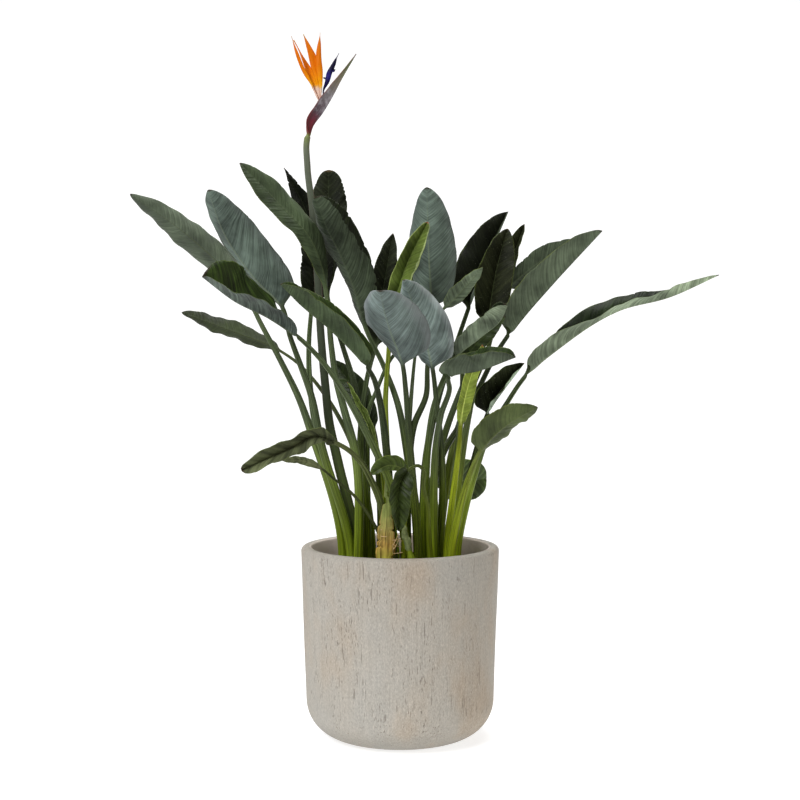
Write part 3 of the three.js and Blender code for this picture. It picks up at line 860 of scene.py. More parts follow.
@dataclass
class Leaf:
    """One leaf, stalk and blade, in the same numbers as its CAD solid.

    Attributes:
        name: the CAD node it stands for.
        root: where its stalk leaves the soil.
        stem: points its stalk passes.
        blade: points of its midrib, base to tip.
        left: half width, then how far that half leans back along the blade, in degrees.
        right: the same for the right half.
        shape: how fast the outline fills at the base and at the tip.
        front: which face the front row of points is.
        finish: its finish.
        build: how stout its stalk is.
        cup: how hollow each half is.
        wave: height in millimetres, count and phase of a wave along the margins.
        ragged: how deep its margin is torn, in millimetres.
        light: a factor on the blade's colour, partly the leaf's own lightness against its finish and
        partly painted light and shade for how lit it stands among the other leaves.
        yellow: how far it has yellowed.
        turn_left: share of the left half's width where its margin turns over, along the blade; none
            does above 1.
        turn_right: the same for the right half.
        row: distance between rows along the blade.
        grooved: whether the stalk has a channel above.
        stem_start: height where the stalk's path starts, a little above the soil.
        root_bottom: height of the stalk's lower end, in the soil.
    """

    name: str
    root: Pair
    stem: list[Point]
    blade: list[Point]
    left: list[float]
    right: list[float]
    shape: Pair
    front: Face
    finish: LeafFinish | PetalFinish
    build: Build = Build.USUAL
    cup: float = 0.16
    wave: tuple[float, float, float] = (2.2, 2.0, 0.0)
    ragged: float = 1.0
    light: float = 1.0
    yellow: float = 0.0
    turn_left: list[float] = field(default_factory=lambda: [2.0])
    turn_right: list[float] = field(default_factory=lambda: [2.0])
    row: float = 2.8
    grooved: bool = True
    stem_start: float = 352.0
    root_bottom: float = 312.0

    def skin(self, number: int) -> Skin:
        """Lofts the leaf from its root to its tip.

        Args:
            number: sets the leaf's own random features.

        Returns:
            Its surface.
        """
        x, y = self.root
        path = Path([(x, y, self.stem_start), *self.stem, *self.blade])
        neck_at = len(self.stem) + 1
        foot, neck = self.build.value
        length = sum(path.lengths[:neck_at])
        skin = Skin()
        low = Vector((x, y, self.root_bottom))
        buried = self.stem_start - self.root_bottom
        skin.add_row(self.stalk_row(low, Vector((0, 0, 1)), foot, 0.0, -length - buried, number))
        count = max(6, round(length / STALK_ROW))
        for step in range(count + 1):
            share = step / count
            place, way = path.at(share * neck_at)
            radius = neck + (foot - neck) * (1 - share) ** STALK_TAPER
            skin.add_row(self.stalk_row(place, way, radius, share, (share - 1.0) * length, number))
        self.add_blade(skin, path, neck_at, neck, number)
        return skin

    def add_blade(self, skin: Skin, path: Path, start: int, neck: float, number: int) -> None:
        """Adds the blade's rows to a surface.

        Args:
            skin: the surface.
            path: the path.
            start: where on the path the blade starts.
            neck: the stalk's radius there.
            number: sets the blade's own random features.
        """
        draw = random.Random(BLADE_SEED + number)
        length = sum(path.lengths[start:])
        phases = [draw.uniform(0, 2 * math.pi) for _ in range(WAVE_PHASES)]
        nicks = [
            (draw.uniform(0.08, 0.95), draw.choice((-1, 1)), draw.uniform(0.3, 1.0) * self.ragged)
            for _ in range(NICKS[self.ragged >= TATTERED])
        ]
        blade = Blade(number, neck, length, phases, nicks)
        count = max(14, round(length / self.row))
        for step in range(1, count + 1):
            t = step / count
            place, way = path.at(start + t * (len(path.points) - 1 - start))
            skin.add_row(self.blade_row(place, way, t, blade))

    def round_row(
        self, place: Vector, way: Vector, radius: float, channel: float
    ) -> list[tuple[Vector, float, float]]:
        """Points round a stalk, front left to right and rear back again.

        Args:
            place: the row's middle.
            way: the stalk's direction.
            radius: its radius.
            channel: how deep the channel above is, as a share of the radius.

        Returns:
            Each point with its place across and its face.
        """
        left, back = sides(way)
        row = []
        for side in (-1, 1):
            face = self.front.value if side < 0 else 1 - self.front.value
            line = []
            for value in ACROSS:
                angle = value * RIM_ANGLE
                depth = 1.0
                if self.grooved and face == Face.UPPER.value:
                    depth -= channel * math.exp(-((value / CHANNEL_WIDTH) ** 2))
                offset = left * (math.sin(angle) * radius) + back * (side * math.cos(angle) * radius * depth)
                line.append((place + offset, value, face))
            row += line if side < 0 else reversed(line)
        return row

    def stalk_row(
        self, place: Vector, way: Vector, radius: float, share: float, reach: float, number: int
    ) -> Row:
        """One round of the stalk.

        Args:
            place: the row's middle.
            way: the stalk's direction.
            radius: its radius.
            share: share of the stalk's length.
            reach: millimetres along the leaf, below 0 here.
            number: the leaf's number.

        Returns:
            Each point with its place, reach and lot.
        """
        channel = CHANNEL * smooth_step((share - 0.15) / 0.6)
        lot = (-1.0, self.light, self.yellow)
        return [
            (point, (value, share - 1.0, face), (value * radius, reach, number * PATTERN_STEP), lot)
            for point, value, face in self.round_row(place, way, radius, channel)
        ]

    def half_frame(
        self, sign: int, left: Vector, back: Vector, t: float
    ) -> tuple[Vector, Vector, float, float]:
        """How one half of the blade lies at t.

        Args:
            sign: 1 for the left half, -1 for the right.
            left: to the left of the path.
            back: to its back.
            t: share of the blade's length.

        Returns:
            Its outward direction, its normal, its width and where its margin turns over.
        """
        half, turns = (self.left, self.turn_left) if sign > 0 else (self.right, self.turn_right)
        lean = math.radians(along_list(half[1:], t))
        out = left * (sign * math.cos(lean)) + back * math.sin(lean)
        normal = back * math.cos(lean) - left * (sign * math.sin(lean))
        width = max(half[0] * fullness(self.shape, min(t, 0.9995)), LEAST_HALF)
        return out, normal, width, along_list(turns, t)

    def worn_width(self, width: float, t: float, sign: int, blade: Blade) -> float:
        """A half's width with its margin's own wander and nicks.

        Args:
            width: its width when whole.
            t: share of the blade's length.
            sign: 1 for the left half, -1 for the right.
            blade: what stays the same along the blade.

        Returns:
            Its width there.
        """
        run = t * blade.length
        first, second = blade.phases[:2]
        nick = sum(
            deep * max(0.0, 1 - abs(t - where) * blade.length / NICK)
            for where, which, deep in blade.nicks
            if which == sign
        )
        wander = 0.6 * math.sin(run / 17 + first + sign) + 0.4 * math.sin(run / 6.3 + second * sign)
        return max(width + wander - nick, WORN_HALF)

    def lift(self, a: float, width: float, t: float, sign: int, blade: Blade) -> float:
        """How far the surface stands off its half's flat: its hollow, its waves and its corrugation.

        Args:
            a: share of the half's width, from the midrib.
            width: the half's width.
            t: share of the blade's length.
            sign: 1 for the left half, -1 for the right.
            blade: what stays the same along the blade.

        Returns:
            The height in millimetres.
        """
        high, count, phase = self.wave
        phases = blade.phases
        swing = math.sqrt(max(t * (1 - t), 0.0)) * 2
        wave = high * math.sin(2 * math.pi * count * t + phase + phases[2] + 1.7 * sign)
        wave += 0.45 * high * math.sin(5.4 * math.pi * count * t + phases[3] * sign)
        # The folds lie along the side veins, 21 and 9 mm apart.
        vein = t * blade.length - 0.42 * a * width - 0.006 * (a * width) ** 2
        folds = 0.4 * math.sin(vein * 2 * math.pi / 21 + phases[4])
        folds += 0.16 * math.sin(vein * 2 * math.pi / 9 + phases[5])
        hollow = -self.cup * width * a * (1 - a) * 2.0
        return hollow + (wave * a**2.2 + folds * min(a * 3, 1.0) * (1 - a) * 1.5) * swing

    def blade_row(self, place: Vector, way: Vector, t: float, blade: Blade) -> Row:
        """One row across the blade.

        Args:
            place: the midrib's place.
            way: the midrib's direction.
            t: share of the blade's length.
            blade: what stays the same along the blade.

        Returns:
            Each point with its place, reach and lot.
        """
        left, back = sides(way)
        frames = {sign: self.half_frame(sign, left, back, t) for sign in (1, -1)}
        centre = (frames[1][1] + frames[-1][1]).normalized()
        rib = along_list([blade.neck * 0.8, 2.0, 1.3, 0.05], t)
        blend = smooth_step(t / OPENING)
        run, pattern = t * blade.length, blade.number * PATTERN_STEP
        row = []
        for index, (round_point, value, face) in enumerate(self.round_row(place, way, blade.neck, CHANNEL)):
            side = -1 if index < len(ACROSS) else 1
            a, sign = abs(value), (1 if value > 0 else -1)
            out, normal, width, turned = frames[sign]
            width = self.worn_width(width, t, sign, blade)
            turn = smooth_step(a * width / HALF_LEAN)
            up = (centre * (1 - turn) + normal * turn).normalized()
            near = math.exp(-((a * width / (rib * 1.25 + 0.4)) ** 2))
            thick = 0.3 if a == 1.0 else 0.4 + rib * near * (1.15 if face == Face.UNDER.value else 0.25)
            raised = self.lift(a, width, t, sign, blade)
            point = place + out * (a * width) + normal * raised + up * (side * thick)
            lot = (max(a - turned, -1.0), self.light, self.yellow)
            row.append((round_point.lerp(point, blend), (value, t, face), (value * width, run, pattern), lot))
        return row


# Each leaf's light value is partly its own lightness and partly painted light and shade.
LEAVES: list[Leaf] = [
    Leaf("leaf_01", (-115, -5), [(-180, -5, 618), (-202, 0, 678), (-239, 5, 754), (-279, 10, 829)],
         [(-308, 15, 885), (-422, 5, 1005), (-536, -25, 1088)],
         [45, 46, 58], [42, 48, 42], (0.5, 0.7), Face.UNDER, OLIVE, wave=(3.0, 2.3, 0.5), light=0.46),
    Leaf("leaf_02", (-98, -30), [(-159, -30, 599), (-178, -34, 693), (-199, -40, 753), (-218, -48, 808)],
         [(-231, -60, 862), (-282, -85, 918), (-342, -130, 1015), (-363, -160, 1083)],
         [58, 82, 76, 58], [65, 0, 5], (0.4, 0.65), Face.UNDER, SAGE, cup=0.24,
         turn_left=[0.1, 0.1, 0.3, 0.9, 1.2], light=0.78),
    Leaf("leaf_03", (14, -58), [(-25, -78, 532), (-58, -88, 602), (-108, -98, 695), (-148, -107, 754)],
         [(-194, -117, 802), (-250, -138, 841), (-313, -172, 873), (-371, -200, 917)],
         [48, -150, -142, -122, -112, -112], [69, 70, 62, 40, 26, 22], (0.75, 0.35), Face.UPPER, FOLDED,
         wave=(4.0, 2.0, 0.4), ragged=2.2, light=0.58),
    Leaf("leaf_04", (-55, 64), [(-104, 80, 593), (-146, 95, 670), (-184, 105, 720), (-213, 110, 750)],
         [(-249, 115, 775), (-357, 130, 819), (-459, 140, 856)],
         [23, 45, 50], [27, 40, 45], (0.6, 0.6), Face.UNDER, MOSS, Build.THIN, wave=(3.0, 2.4, 1.0),
         yellow=0.3, light=0.42),
    Leaf("leaf_05", (-83, -45), [(-90, -42, 580), (-111, -32, 659), (-127, -28, 719), (-137, -30, 789)],
         [(-146, -35, 890), (-178, -55, 997), (-240, -80, 1067), (-309, -110, 1139)],
         [34, -46, -52], [45, 52, 48], (1.0, 0.75), Face.UNDER, MOSS, Build.STOUT,
         wave=(3.0, 1.7, 0.0), ragged=1.6, light=0.8),
    Leaf("leaf_06", (-100, 25), [(-166, 34, 595), (-181, 50, 676), (-188, 75, 778)],
         [(-183, 100, 869), (-173, 130, 961), (-200, 170, 1073), (-248, 200, 1165)],
         [36, -25], [42, -25], (0.5, 1.1), Face.UPPER, SHADED_DEEP_GREEN, ragged=3.0, wave=(4.0, 2.0, 0.0)),
    Leaf("leaf_07", (-17, -48), [(-29, -52, 601), (-40, -86, 682), (-51, -120, 725)],
         [(-61, -140, 744), (-132, -167, 820), (-189, -187, 868), (-224, -200, 903)],
         [37, -148, -148], [42, 0, 8, 28, 35, 30], (0.4, 0.6), Face.UPPER, MOSS, ragged=2.0, light=0.86),
    Leaf("leaf_08", (-80, 42), [(-75, 32, 594), (-89, 50, 689), (-120, 105, 788)],
         [(-151, 150, 882), (-153, 205, 1021), (-155, 250, 1166)],
         [37, -12], [42, -18], (1.0, 0.5), Face.UPPER, SHADED_DEEP_GREEN, ragged=3.0, wave=(5.0, 2.6, 0.0), light=1.8),
    Leaf("leaf_09", (40, 0), [(15, -5, 567), (-7, 4, 678), (-34, 16, 748)],
         [(-69, 0, 822), (-87, -8, 888), (-116, -25, 963), (-149, -45, 1031), (-166, -60, 1079)],
         [38, 68, 60], [55, 14, 10], (0.6, 0.5), Face.UNDER, DUSK, ragged=4.0, cup=0.25, wave=(3.0, 2.0, 0.0),
         turn_left=[0.5, 0.5, 0.8, 1.3, 1.5], turn_right=[1.4, 1.2, 0.78, 0.66, 0.8], light=0.72),
    Leaf("leaf_10", (-67, -16), [(-69, -14, 477), (-80, 0, 577), (-76, 16, 657), (-62, 54, 744)],
         [(-50, 78, 786), (-35, 125, 903), (-15, 175, 1024)],
         [39, -30], [32, -25], (0.35, 0.7), Face.UPPER, SHADED_DEEP_GREEN, light=1.6),
    Leaf("leaf_11", (-8, -18), [(-21, -15, 477), (-27, -10, 598), (-29, -10, 678), (-24, -20, 755)],
         [(-17, -38, 838), (9, -57, 935), (54, -77, 1029)],
         [25, -30, -38], [34, -60, -50], (0.5, 0.5), Face.UPPER, FRESH, Build.YOUNG,
         turn_right=[1.3, 0.93, 0.9, 0.95], light=1.4),
    Leaf("leaf_12", (8, 8), [(17, 10, 597), (23, 16, 687), (29, 35, 752)],
         [(42, 60, 845), (41, 100, 933), (39, 140, 1010)],
         [26, -20], [22, -20], (0.5, 0.7), Face.UPPER, SHADE, Build.THIN, light=0.6),
    Leaf("leaf_13", (14, 30), [(17, 27, 514), (29, 18, 628), (53, 10, 688), (55, 5, 738)],
         [(63, 0, 862), (57, -8, 988), (53, -20, 1102)],
         [50, 42, 40], [56, 12, 10], (0.42, 0.6), Face.UNDER, SAGE, cup=0.22,
         wave=(2.6, 2.3, 0.0), light=0.72),
    Leaf("leaf_14", (36, -60), [(25, -72, 523), (17, -97, 623), (11, -125, 702)],
         [(5, -150, 752), (-20, -200, 821), (-37, -275, 888)],
         [60, 74, 60, 46, 50], [72, 8, 5], (0.3, 0.55), Face.UNDER, SILVER, cup=0.2, wave=(3.0, 1.6, 0.0)),
    Leaf("leaf_15", (78, -25), [(85, -30, 479), (82, -55, 581), (71, -83, 681)],
         [(63, -103, 744), (51, -118, 793), (28, -150, 860), (7, -185, 912)],
         [42, 55], [57, 14], (0.35, 0.7), Face.UNDER, SILVER, cup=0.24, wave=(3.0, 2.0, 0.0), light=1.7),
    Leaf("leaf_16", (49, 45), [(56, 50, 574), (81, 75, 685), (113, 105, 778)],
         [(143, 130, 863), (184, 185, 964), (235, 250, 1076)],
         [60, -12], [46, -98], (0.45, 0.7), Face.UPPER, SHADED_DEEP_GREEN),
    Leaf("leaf_17", (-62, 20), [(-66, 17, 576), (-64, 10, 653), (-45, 0, 702), (-21, -10, 756),
                                 (39, -32, 818)],
         [(88, -57, 862), (126, -90, 902), (159, -125, 939)],
         [20, -30], [17, 25], (0.5, 0.85), Face.UNDER, OLIVE, Build.THIN),
    Leaf("leaf_18", (100, -8), [(116, -2, 496), (130, 5, 597), (147, 24, 687), (161, 46, 768)],
         [(177, 65, 828), (200, 105, 944), (226, 150, 1032)],
         [45, -32], [42, -28], (0.35, 0.7), Face.UPPER, SHADED_DEEP_GREEN, ragged=1.4, yellow=0.2, light=1.9),
    Leaf("leaf_19", (80, 50), [(91, 56, 470), (113, 80, 592), (145, 115, 684), (185, 155, 777)],
         [(212, 190, 882), (240, 225, 966), (271, 260, 1050)],
         [34, -30], [26, -72], (0.5, 0.8), Face.UPPER, SHADED_DEEP_GREEN, yellow=0.2, light=3.0),
    Leaf("leaf_20", (52, 70), [(61, 66, 469), (96, 86, 613), (145, 108, 736), (191, 126, 840)],
         [(227, 140, 906), (292, 150, 962), (375, 160, 1009)],
         [27, -20], [28, 20], (0.5, 0.6), Face.UNDER, DUSK, wave=(3.0, 2.0, 0.0), ragged=2.0, light=0.85),
    Leaf("leaf_21", (49, -28), [(51, -28, 519), (57, -36, 600), (68, -44, 670), (87, -58, 724)],
         [(104, -70, 760), (152, -122, 803), (192, -172, 840), (202, -190, 864)],
         [29, 28, 20], [37, -154, -150], (0.5, 0.32), Face.UPPER, PALE, ragged=1.6, light=0.6),
    Leaf("leaf_22", (95, 22), [(108, 24, 475), (118, 24, 577), (124, 14, 658), (125, -10, 712)],
         [(126, -32, 752), (160, -55, 800), (206, -75, 845)],
         [28, 20], [18, -30], (0.5, 0.6), Face.UPPER, SHADE, ragged=2.0, light=0.66),
    Leaf("leaf_23", (57, 20), [(66, 26, 494), (90, 36, 573), (117, 42, 616), (159, 40, 697), (198, 26, 776)],
         [(217, 14, 806), (300, -12, 906), (400, -40, 1014)],
         [46, 30, 20], [54, -158, -160], (0.45, 0.6), Face.UPPER, OLIVE, wave=(3.0, 2.0, 0.0),
         ragged=1.8, light=0.66),
    Leaf("leaf_24", (68, -45), [(67, -48, 481), (70, -68, 582), (80, -97, 653), (95, -138, 705)],
         [(92, -165, 727), (148, -215, 743), (212, -264, 767)],
         [42, 28, 26], [44, -142, -140], (0.42, 0.5), Face.UPPER, OLIVE, wave=(3.0, 2.4, 0.0), light=0.56),
    Leaf("leaf_25", (105, 40), [(134, 35, 493), (149, 25, 551), (164, 5, 613)],
         [(176, -10, 651), (208, -35, 702), (245, -65, 753)],
         [46, -25], [36, -100], (0.32, 0.6), Face.UPPER, SHADED_DEEP_GREEN, light=3.0),
    Leaf("leaf_26", (112, -38), [(131, -38, 470), (148, -40, 530), (178, -40, 616), (210, -35, 669)],
         [(247, -27, 723), (329, -10, 792), (443, 15, 859), (547, 35, 886), (651, 50, 931)],
         [38, 70, 72, 45, 35, 38, 46, 52, 56, 58], [34, -160, -165, -140, -110, -105, -118, -138, -155, -150],
         (0.4, 0.75), Face.UPPER, PALE, wave=(3.0, 3.2, 0.0), ragged=1.8, light=0.8),
    Leaf("leaf_27", (99, -73), [(115, -75, 454), (130, -85, 515), (141, -102, 549)],
         [(155, -120, 583), (200, -150, 634), (260, -180, 672)],
         [40, -15], [32, 55], (0.4, 0.65), Face.UNDER, MOSS, yellow=0.4, wave=(3.0, 2.0, 0.0),
         ragged=2.0, light=1.05),
    Leaf("leaf_28", (92, -50), [(104, -50, 481), (112, -48, 541), (118, -45, 596)],
         [(120, -45, 630), (132, -55, 699), (161, -80, 789)],
         [14, -25], [17, -20], (0.5, 0.6), Face.UPPER, FRESH, Build.YOUNG, yellow=0.35, light=2.9),
    Leaf("leaf_29", (80, 82), [(78, 88, 420), (74, 100, 460)],
         [(74, 112, 490), (128, 150, 500), (185, 185, 501)],
         [46, -12], [44, -12], (0.45, 0.4), Face.UPPER, SHADE, light=2.0),
    Leaf("leaf_30", (-38, 42), [(-44, 46, 520)],
         [(-54, 50, 616), (-80, 85, 673), (-107, 115, 713), (-140, 140, 754)],
         [30, -25], [28, -20], (0.45, 0.6), Face.UPPER, SHADE, light=0.9),
    Leaf("leaf_31", (-37, -22), [(-29, -34, 478)],
         [(-36, -34, 540), (-70, -20, 650), (-106, -10, 714)],
         [9, -50], [9, -50], (0.5, 0.6), Face.UPPER, FRESH, Build.YOUNG, light=1.6),
    Leaf("leaf_32", (6, -80), [(9, -88, 440), (10, -114, 500)],
         [(8, -146, 550), (-20, -160, 560), (-56, -168, 543)],
         [10, -20], [22, -20], (0.5, 0.6), Face.UPPER, SHADE, Build.THIN, yellow=0.3, light=1.8),
    Leaf("leaf_33", (-12, -78),
         [(-32, -84, 456), (-40, -97, 487), (-56, -121, 528), (-74, -145, 563), (-96, -160, 587)],
         [(-121, -172, 603), (-156, -187, 616), (-217, -207, 590), (-296, -225, 556)],
         [24, -58, -48], [28, -50, -48], (0.5, 0.32), Face.UPPER, WITHERED, wave=(5, 2, 1),
         ragged=2.0, light=1.25),
    Leaf("leaf_34", (60, -76),
         [(56, -85, 426), (54, -100, 473), (45, -122, 516), (46, -142, 547), (34, -158, 559)],
         [(16, -170, 552), (-1, -178, 526), (-3, -181, 486), (-3, -178, 436)],
         [30, -25], [32, -58], (0.4, 0.6), Face.UPPER, SHADE, Build.THIN, yellow=0.2, light=0.85),
    Leaf("leaf_35", (-34, -78), [(-34, -88, 396), (-57, -102, 451), (-98, -115, 506), (-127, -125, 530)],
         [(-150, -133, 550), (-187, -145, 567), (-225, -155, 568)],
         [7, -20], [9, -20], (0.5, 0.6), Face.UPPER, WITHERED, Build.WITHERED, light=1.6),
    Leaf("old_sheath", (24, -104), [(21, -104, 376)],
         [(18, -104, 388), (11, -105, 416), (3, -106, 446)],
         [9, 40], [10, 40], (0.2, 0.6), Face.UNDER, FRESH, Build.STOUT, ragged=0.4, light=0.6, grooved=False),
]


@dataclass
class Foliage:
    """All the leaves."""

    leaves: list[Leaf] = field(default_factory=lambda: LEAVES)

    def build(self) -> list[Piece]:
        """Builds and dresses each leaf in place of its CAD solid.

        Returns:
            The leaves.
        """
        finishes = {leaf.finish.name: leaf.finish.make() for leaf in self.leaves}
        made = []
        for number, leaf in enumerate(self.leaves):
            piece = leaf.skin(number).object(f"{leaf.name}_living", finishes[leaf.finish.name])
            made.append(dress(piece, leaf.finish.slot, leaf.name))
        return made


@dataclass
class Petal:
    """One petal: points from base to tip, and each half's width and lean."""

    blade: list[Point]
    left: Pair
    right: Pair
    shape: Pair = (3.2, 1.3)
    foot: float = 1.4

    def skin(self, number: int) -> Skin:
        """Lofts the petal.

        Args:
            number: sets its own random features.

        Returns:
            Its surface.
        """
        leaf = Leaf(
            "petal", (0, 0), [], self.blade, list(self.left), list(self.right), self.shape, Face.UPPER,
            ORANGE, cup=0.22, wave=(0.8, 1.5, 0.0), ragged=0.2, row=2.0, grooved=False,
        )
        path = Path(self.blade, upright=False)
        skin = Skin()
        for point, value, face in leaf.round_row(*path.at(0), self.foot, 0.0):
            skin.add_row([(point, (value, 0.0, face), (value, 0.0, number), (-1.0, 1.0, 0.0))])
        leaf.add_blade(skin, path, 0, self.foot, PETAL_SEED + number)
        return skin


@dataclass
class Flower:
    """The flower stalk with its bract, the sepals and the tongue."""

    stalk: Leaf = field(
        default_factory=lambda: Leaf(
            "flower_stem", (-86, -8),
            [(-126, 0, 557), (-142, 8, 627), (-150, 12, 698), (-159, 15, 798), (-167, 17, 940),
             (-176, 15, 1060), (-186, 12, 1149)],
            [(-186, 10, 1202), (-178, 9, 1226), (-159, 8, 1250), (-138, 8, 1283), (-118, 8, 1319),
             (-87, 8, 1370)],
            [21, 70, 40, 32, 22, 12], [21, -60, -146, -148, -158, -168], (0.8, 1.2), Face.UPPER, BRACT,
            Build.FLOWERING, cup=0.05, wave=(0.0, 1.0, 0.0), ragged=0.2, row=2.0, grooved=False,
        )
    )
    sepals: list[Petal] = field(
        default_factory=lambda: [
            Petal([(-160, 7.5, 1264), (-165, 7, 1284), (-176, 5, 1308), (-198, -2, 1348), (-216, -8, 1402)],
                  (3.8, 30), (3.8, -30)),
            Petal([(-160, 9, 1264), (-163, 10, 1286), (-169, 12, 1310), (-187, 16, 1349), (-213, 20, 1400)],
                  (9.3, 20), (8, -40), (2.2, 1.9)),
            Petal([(-159, 8.5, 1264), (-160, 8, 1286), (-164, 7, 1310), (-175, 6, 1352), (-193, 4, 1408)],
                  (4.5, 10), (13, 25)),
            Petal([(-158, 7.5, 1264), (-157, 6, 1284), (-158, 2, 1308), (-161, -2, 1352), (-159, -4, 1410)],
                  (8, 20), (5.5, 25)),
        ]
    )
    tongue: list[Petal] = field(
        default_factory=lambda: [
            Petal([(-150, 8, 1266), (-153, 8, 1298), (-146, 7, 1316), (-140, 6, 1333), (-130, 5, 1353),
                   (-122, 4, 1371)], (6, 20), (6, 20), (2.2, 1.9)),
            Petal([(-145, 7, 1317), (-149, 7, 1320), (-154, 6, 1323)], (3, 30), (3, 30)),
            Petal([(-139, 6, 1332), (-134, 5, 1335), (-129, 5, 1339)], (3, 30), (3, 30)),
        ]
    )

    def bunch(self, name: str, petals: list[Petal], finish: PetalFinish) -> Piece:
        """Builds several petals as one object.

        Args:
            name: the object's name.
            petals: the petals.
            finish: their finish.

        Returns:
            The object.
        """
        material = finish.make()
        pieces = [
            petal.skin(number).object(f"{name}_{number}", material) for number, petal in enumerate(petals)
        ]
        whole = pieces[0]
        with bpy.context.temp_override(active_object=whole, selected_editable_objects=pieces, object=whole):
            bpy.ops.object.join()
        whole.name = whole.data.name = name
        return whole

    def build(self) -> list[Piece]:
        """Builds and dresses the flower.

        Returns:
            Stalk with bract, sepals, tongue.
        """
        stalk = self.stalk.skin(FLOWER_NUMBER).object("flower_stem_living", BRACT.make())
        sepals = self.bunch("flower_sepals_living", self.sepals, ORANGE)
        tongue = self.bunch("flower_tongue_living", self.tongue, BLUE)
        return [
            dress(stalk, BRACT.slot, "flower_stem"),
            dress(sepals, ORANGE.slot, "flower_sepals"),
            dress(tongue, BLUE.slot, "flower_tongue"),
        ]


def open_tree(name: str, *sizes: str) -> tuple[Growth, dict[str, Socket]]:
    """Starts a Geometry Nodes tree with inputs Geometry and Seed, named sizes and a geometry output.

    Args:
        name: the tree's name.
        sizes: each size's name.

    Returns:
        The tree, and its inputs' sockets by name.
    """
    tree = bpy.data.node_groups.new(name, "GeometryNodeTree")
    kinds = {"Geometry": "NodeSocketGeometry", **dict.fromkeys(sizes, "NodeSocketFloat")}
    kinds["Seed"] = "NodeSocketInt"
    for label, kind in kinds.items():
        tree.interface.new_socket(label, in_out="INPUT", socket_type=kind)
    tree.interface.new_socket("Geometry", in_out="OUTPUT", socket_type="NodeSocketGeometry")
    return tree, {socket.name: socket for socket in add(tree, "NodeGroupInput").outputs if socket.name}


def close_tree(tree: Growth, geometry: Node, material: Material) -> Growth:
    """Gives a tree's result its finish and its way out.

    Args:
        tree: the tree.
        geometry: the node that makes the result.
        material: its finish.

    Returns:
        The same tree.
    """
    dressed = add(tree, "GeometryNodeSetMaterial", named={"Geometry": geometry, "Material": material})
    add(tree, "NodeGroupOutput", dressed)
    return tree


def grown(name: str, base: Mesh, tree: Growth, values: dict) -> Piece:
    """Runs a Geometry Nodes tree on a mesh and keeps the result as a plain mesh.

    Args:
        name: the new object's name.
        base: what the tree starts from.
        tree: the tree.
        values: its inputs by name.

    Returns:
        The object, with no modifier.
    """
    carrier = bpy.data.objects.new(f"{name}_carrier", base)
    bpy.context.scene.collection.objects.link(carrier)
    modifier = carrier.modifiers.new("grow", "NODES")
    modifier.node_group = tree
    for item in tree.interface.items_tree:
        if item.in_out == "INPUT" and item.name in values:
            modifier[item.identifier] = values[item.name]
    graph = bpy.context.evaluated_depsgraph_get()
    made = bpy.data.meshes.new_from_object(carrier.evaluated_get(graph))
    carrier.modifiers.remove(modifier)
    bpy.data.objects.remove(carrier)
    return into_scene(name, made)


@dataclass
class Scatter:
    """Small grains that a Geometry Nodes tree strews over a surface.

    Attributes:
        name: the grains' name.
        count: how many.
        size: a grain's usual size in millimetres.
        low: least stretch in each direction.
        high: most stretch in each direction.
        seed: fixes the random draw.
    """

    name: str
    count: float
    size: float
    low: Point
    high: Point
    seed: int

    def tree(self, material: Material) -> Growth:
        """Builds the tree.

        Args:
            material: the grains' finish.

        Returns:
            The tree, with inputs Density, Grain size and Seed.
        """
        tree, given = open_tree(self.name, "Density", "Grain size")
        named = {"Mesh": given["Geometry"], "Density": given["Density"], "Seed": given["Seed"]}
        strewn = add(tree, "GeometryNodeDistributePointsOnFaces", named=named)
        grain = add(tree, "GeometryNodeMeshIcoSphere", 0.5, 1)
        seed = given["Seed"]
        turn = add(tree, DRAW, (0, 0, 0), (FULL_TURN,) * 3, None, seed, data_type="FLOAT_VECTOR")
        stretch = add(tree, DRAW, self.low, self.high, None, seed, data_type="FLOAT_VECTOR")
        size = add(tree, VECTORS, stretch, given["Grain size"], operation="SCALE")
        named = {"Points": strewn.outputs["Points"], "Instance": grain, "Rotation": turn, "Scale": size}
        placed = add(tree, "GeometryNodeInstanceOnPoints", named=named)
        return close_tree(tree, add(tree, "GeometryNodeRealizeInstances", placed), material)

    def over(self, bed: Mesh, area: float, finish: Grit) -> Piece:
        """Strews the grains over a mesh.

        Args:
            bed: the surface.
            area: its area in square metres.
            finish: the grains' finish.

        Returns:
            The grains as one plain mesh object.
        """
        values = {"Density": self.count / area, "Grain size": self.size * MM, "Seed": self.seed}
        return grown(self.name, bed, self.tree(finish.make()), values)


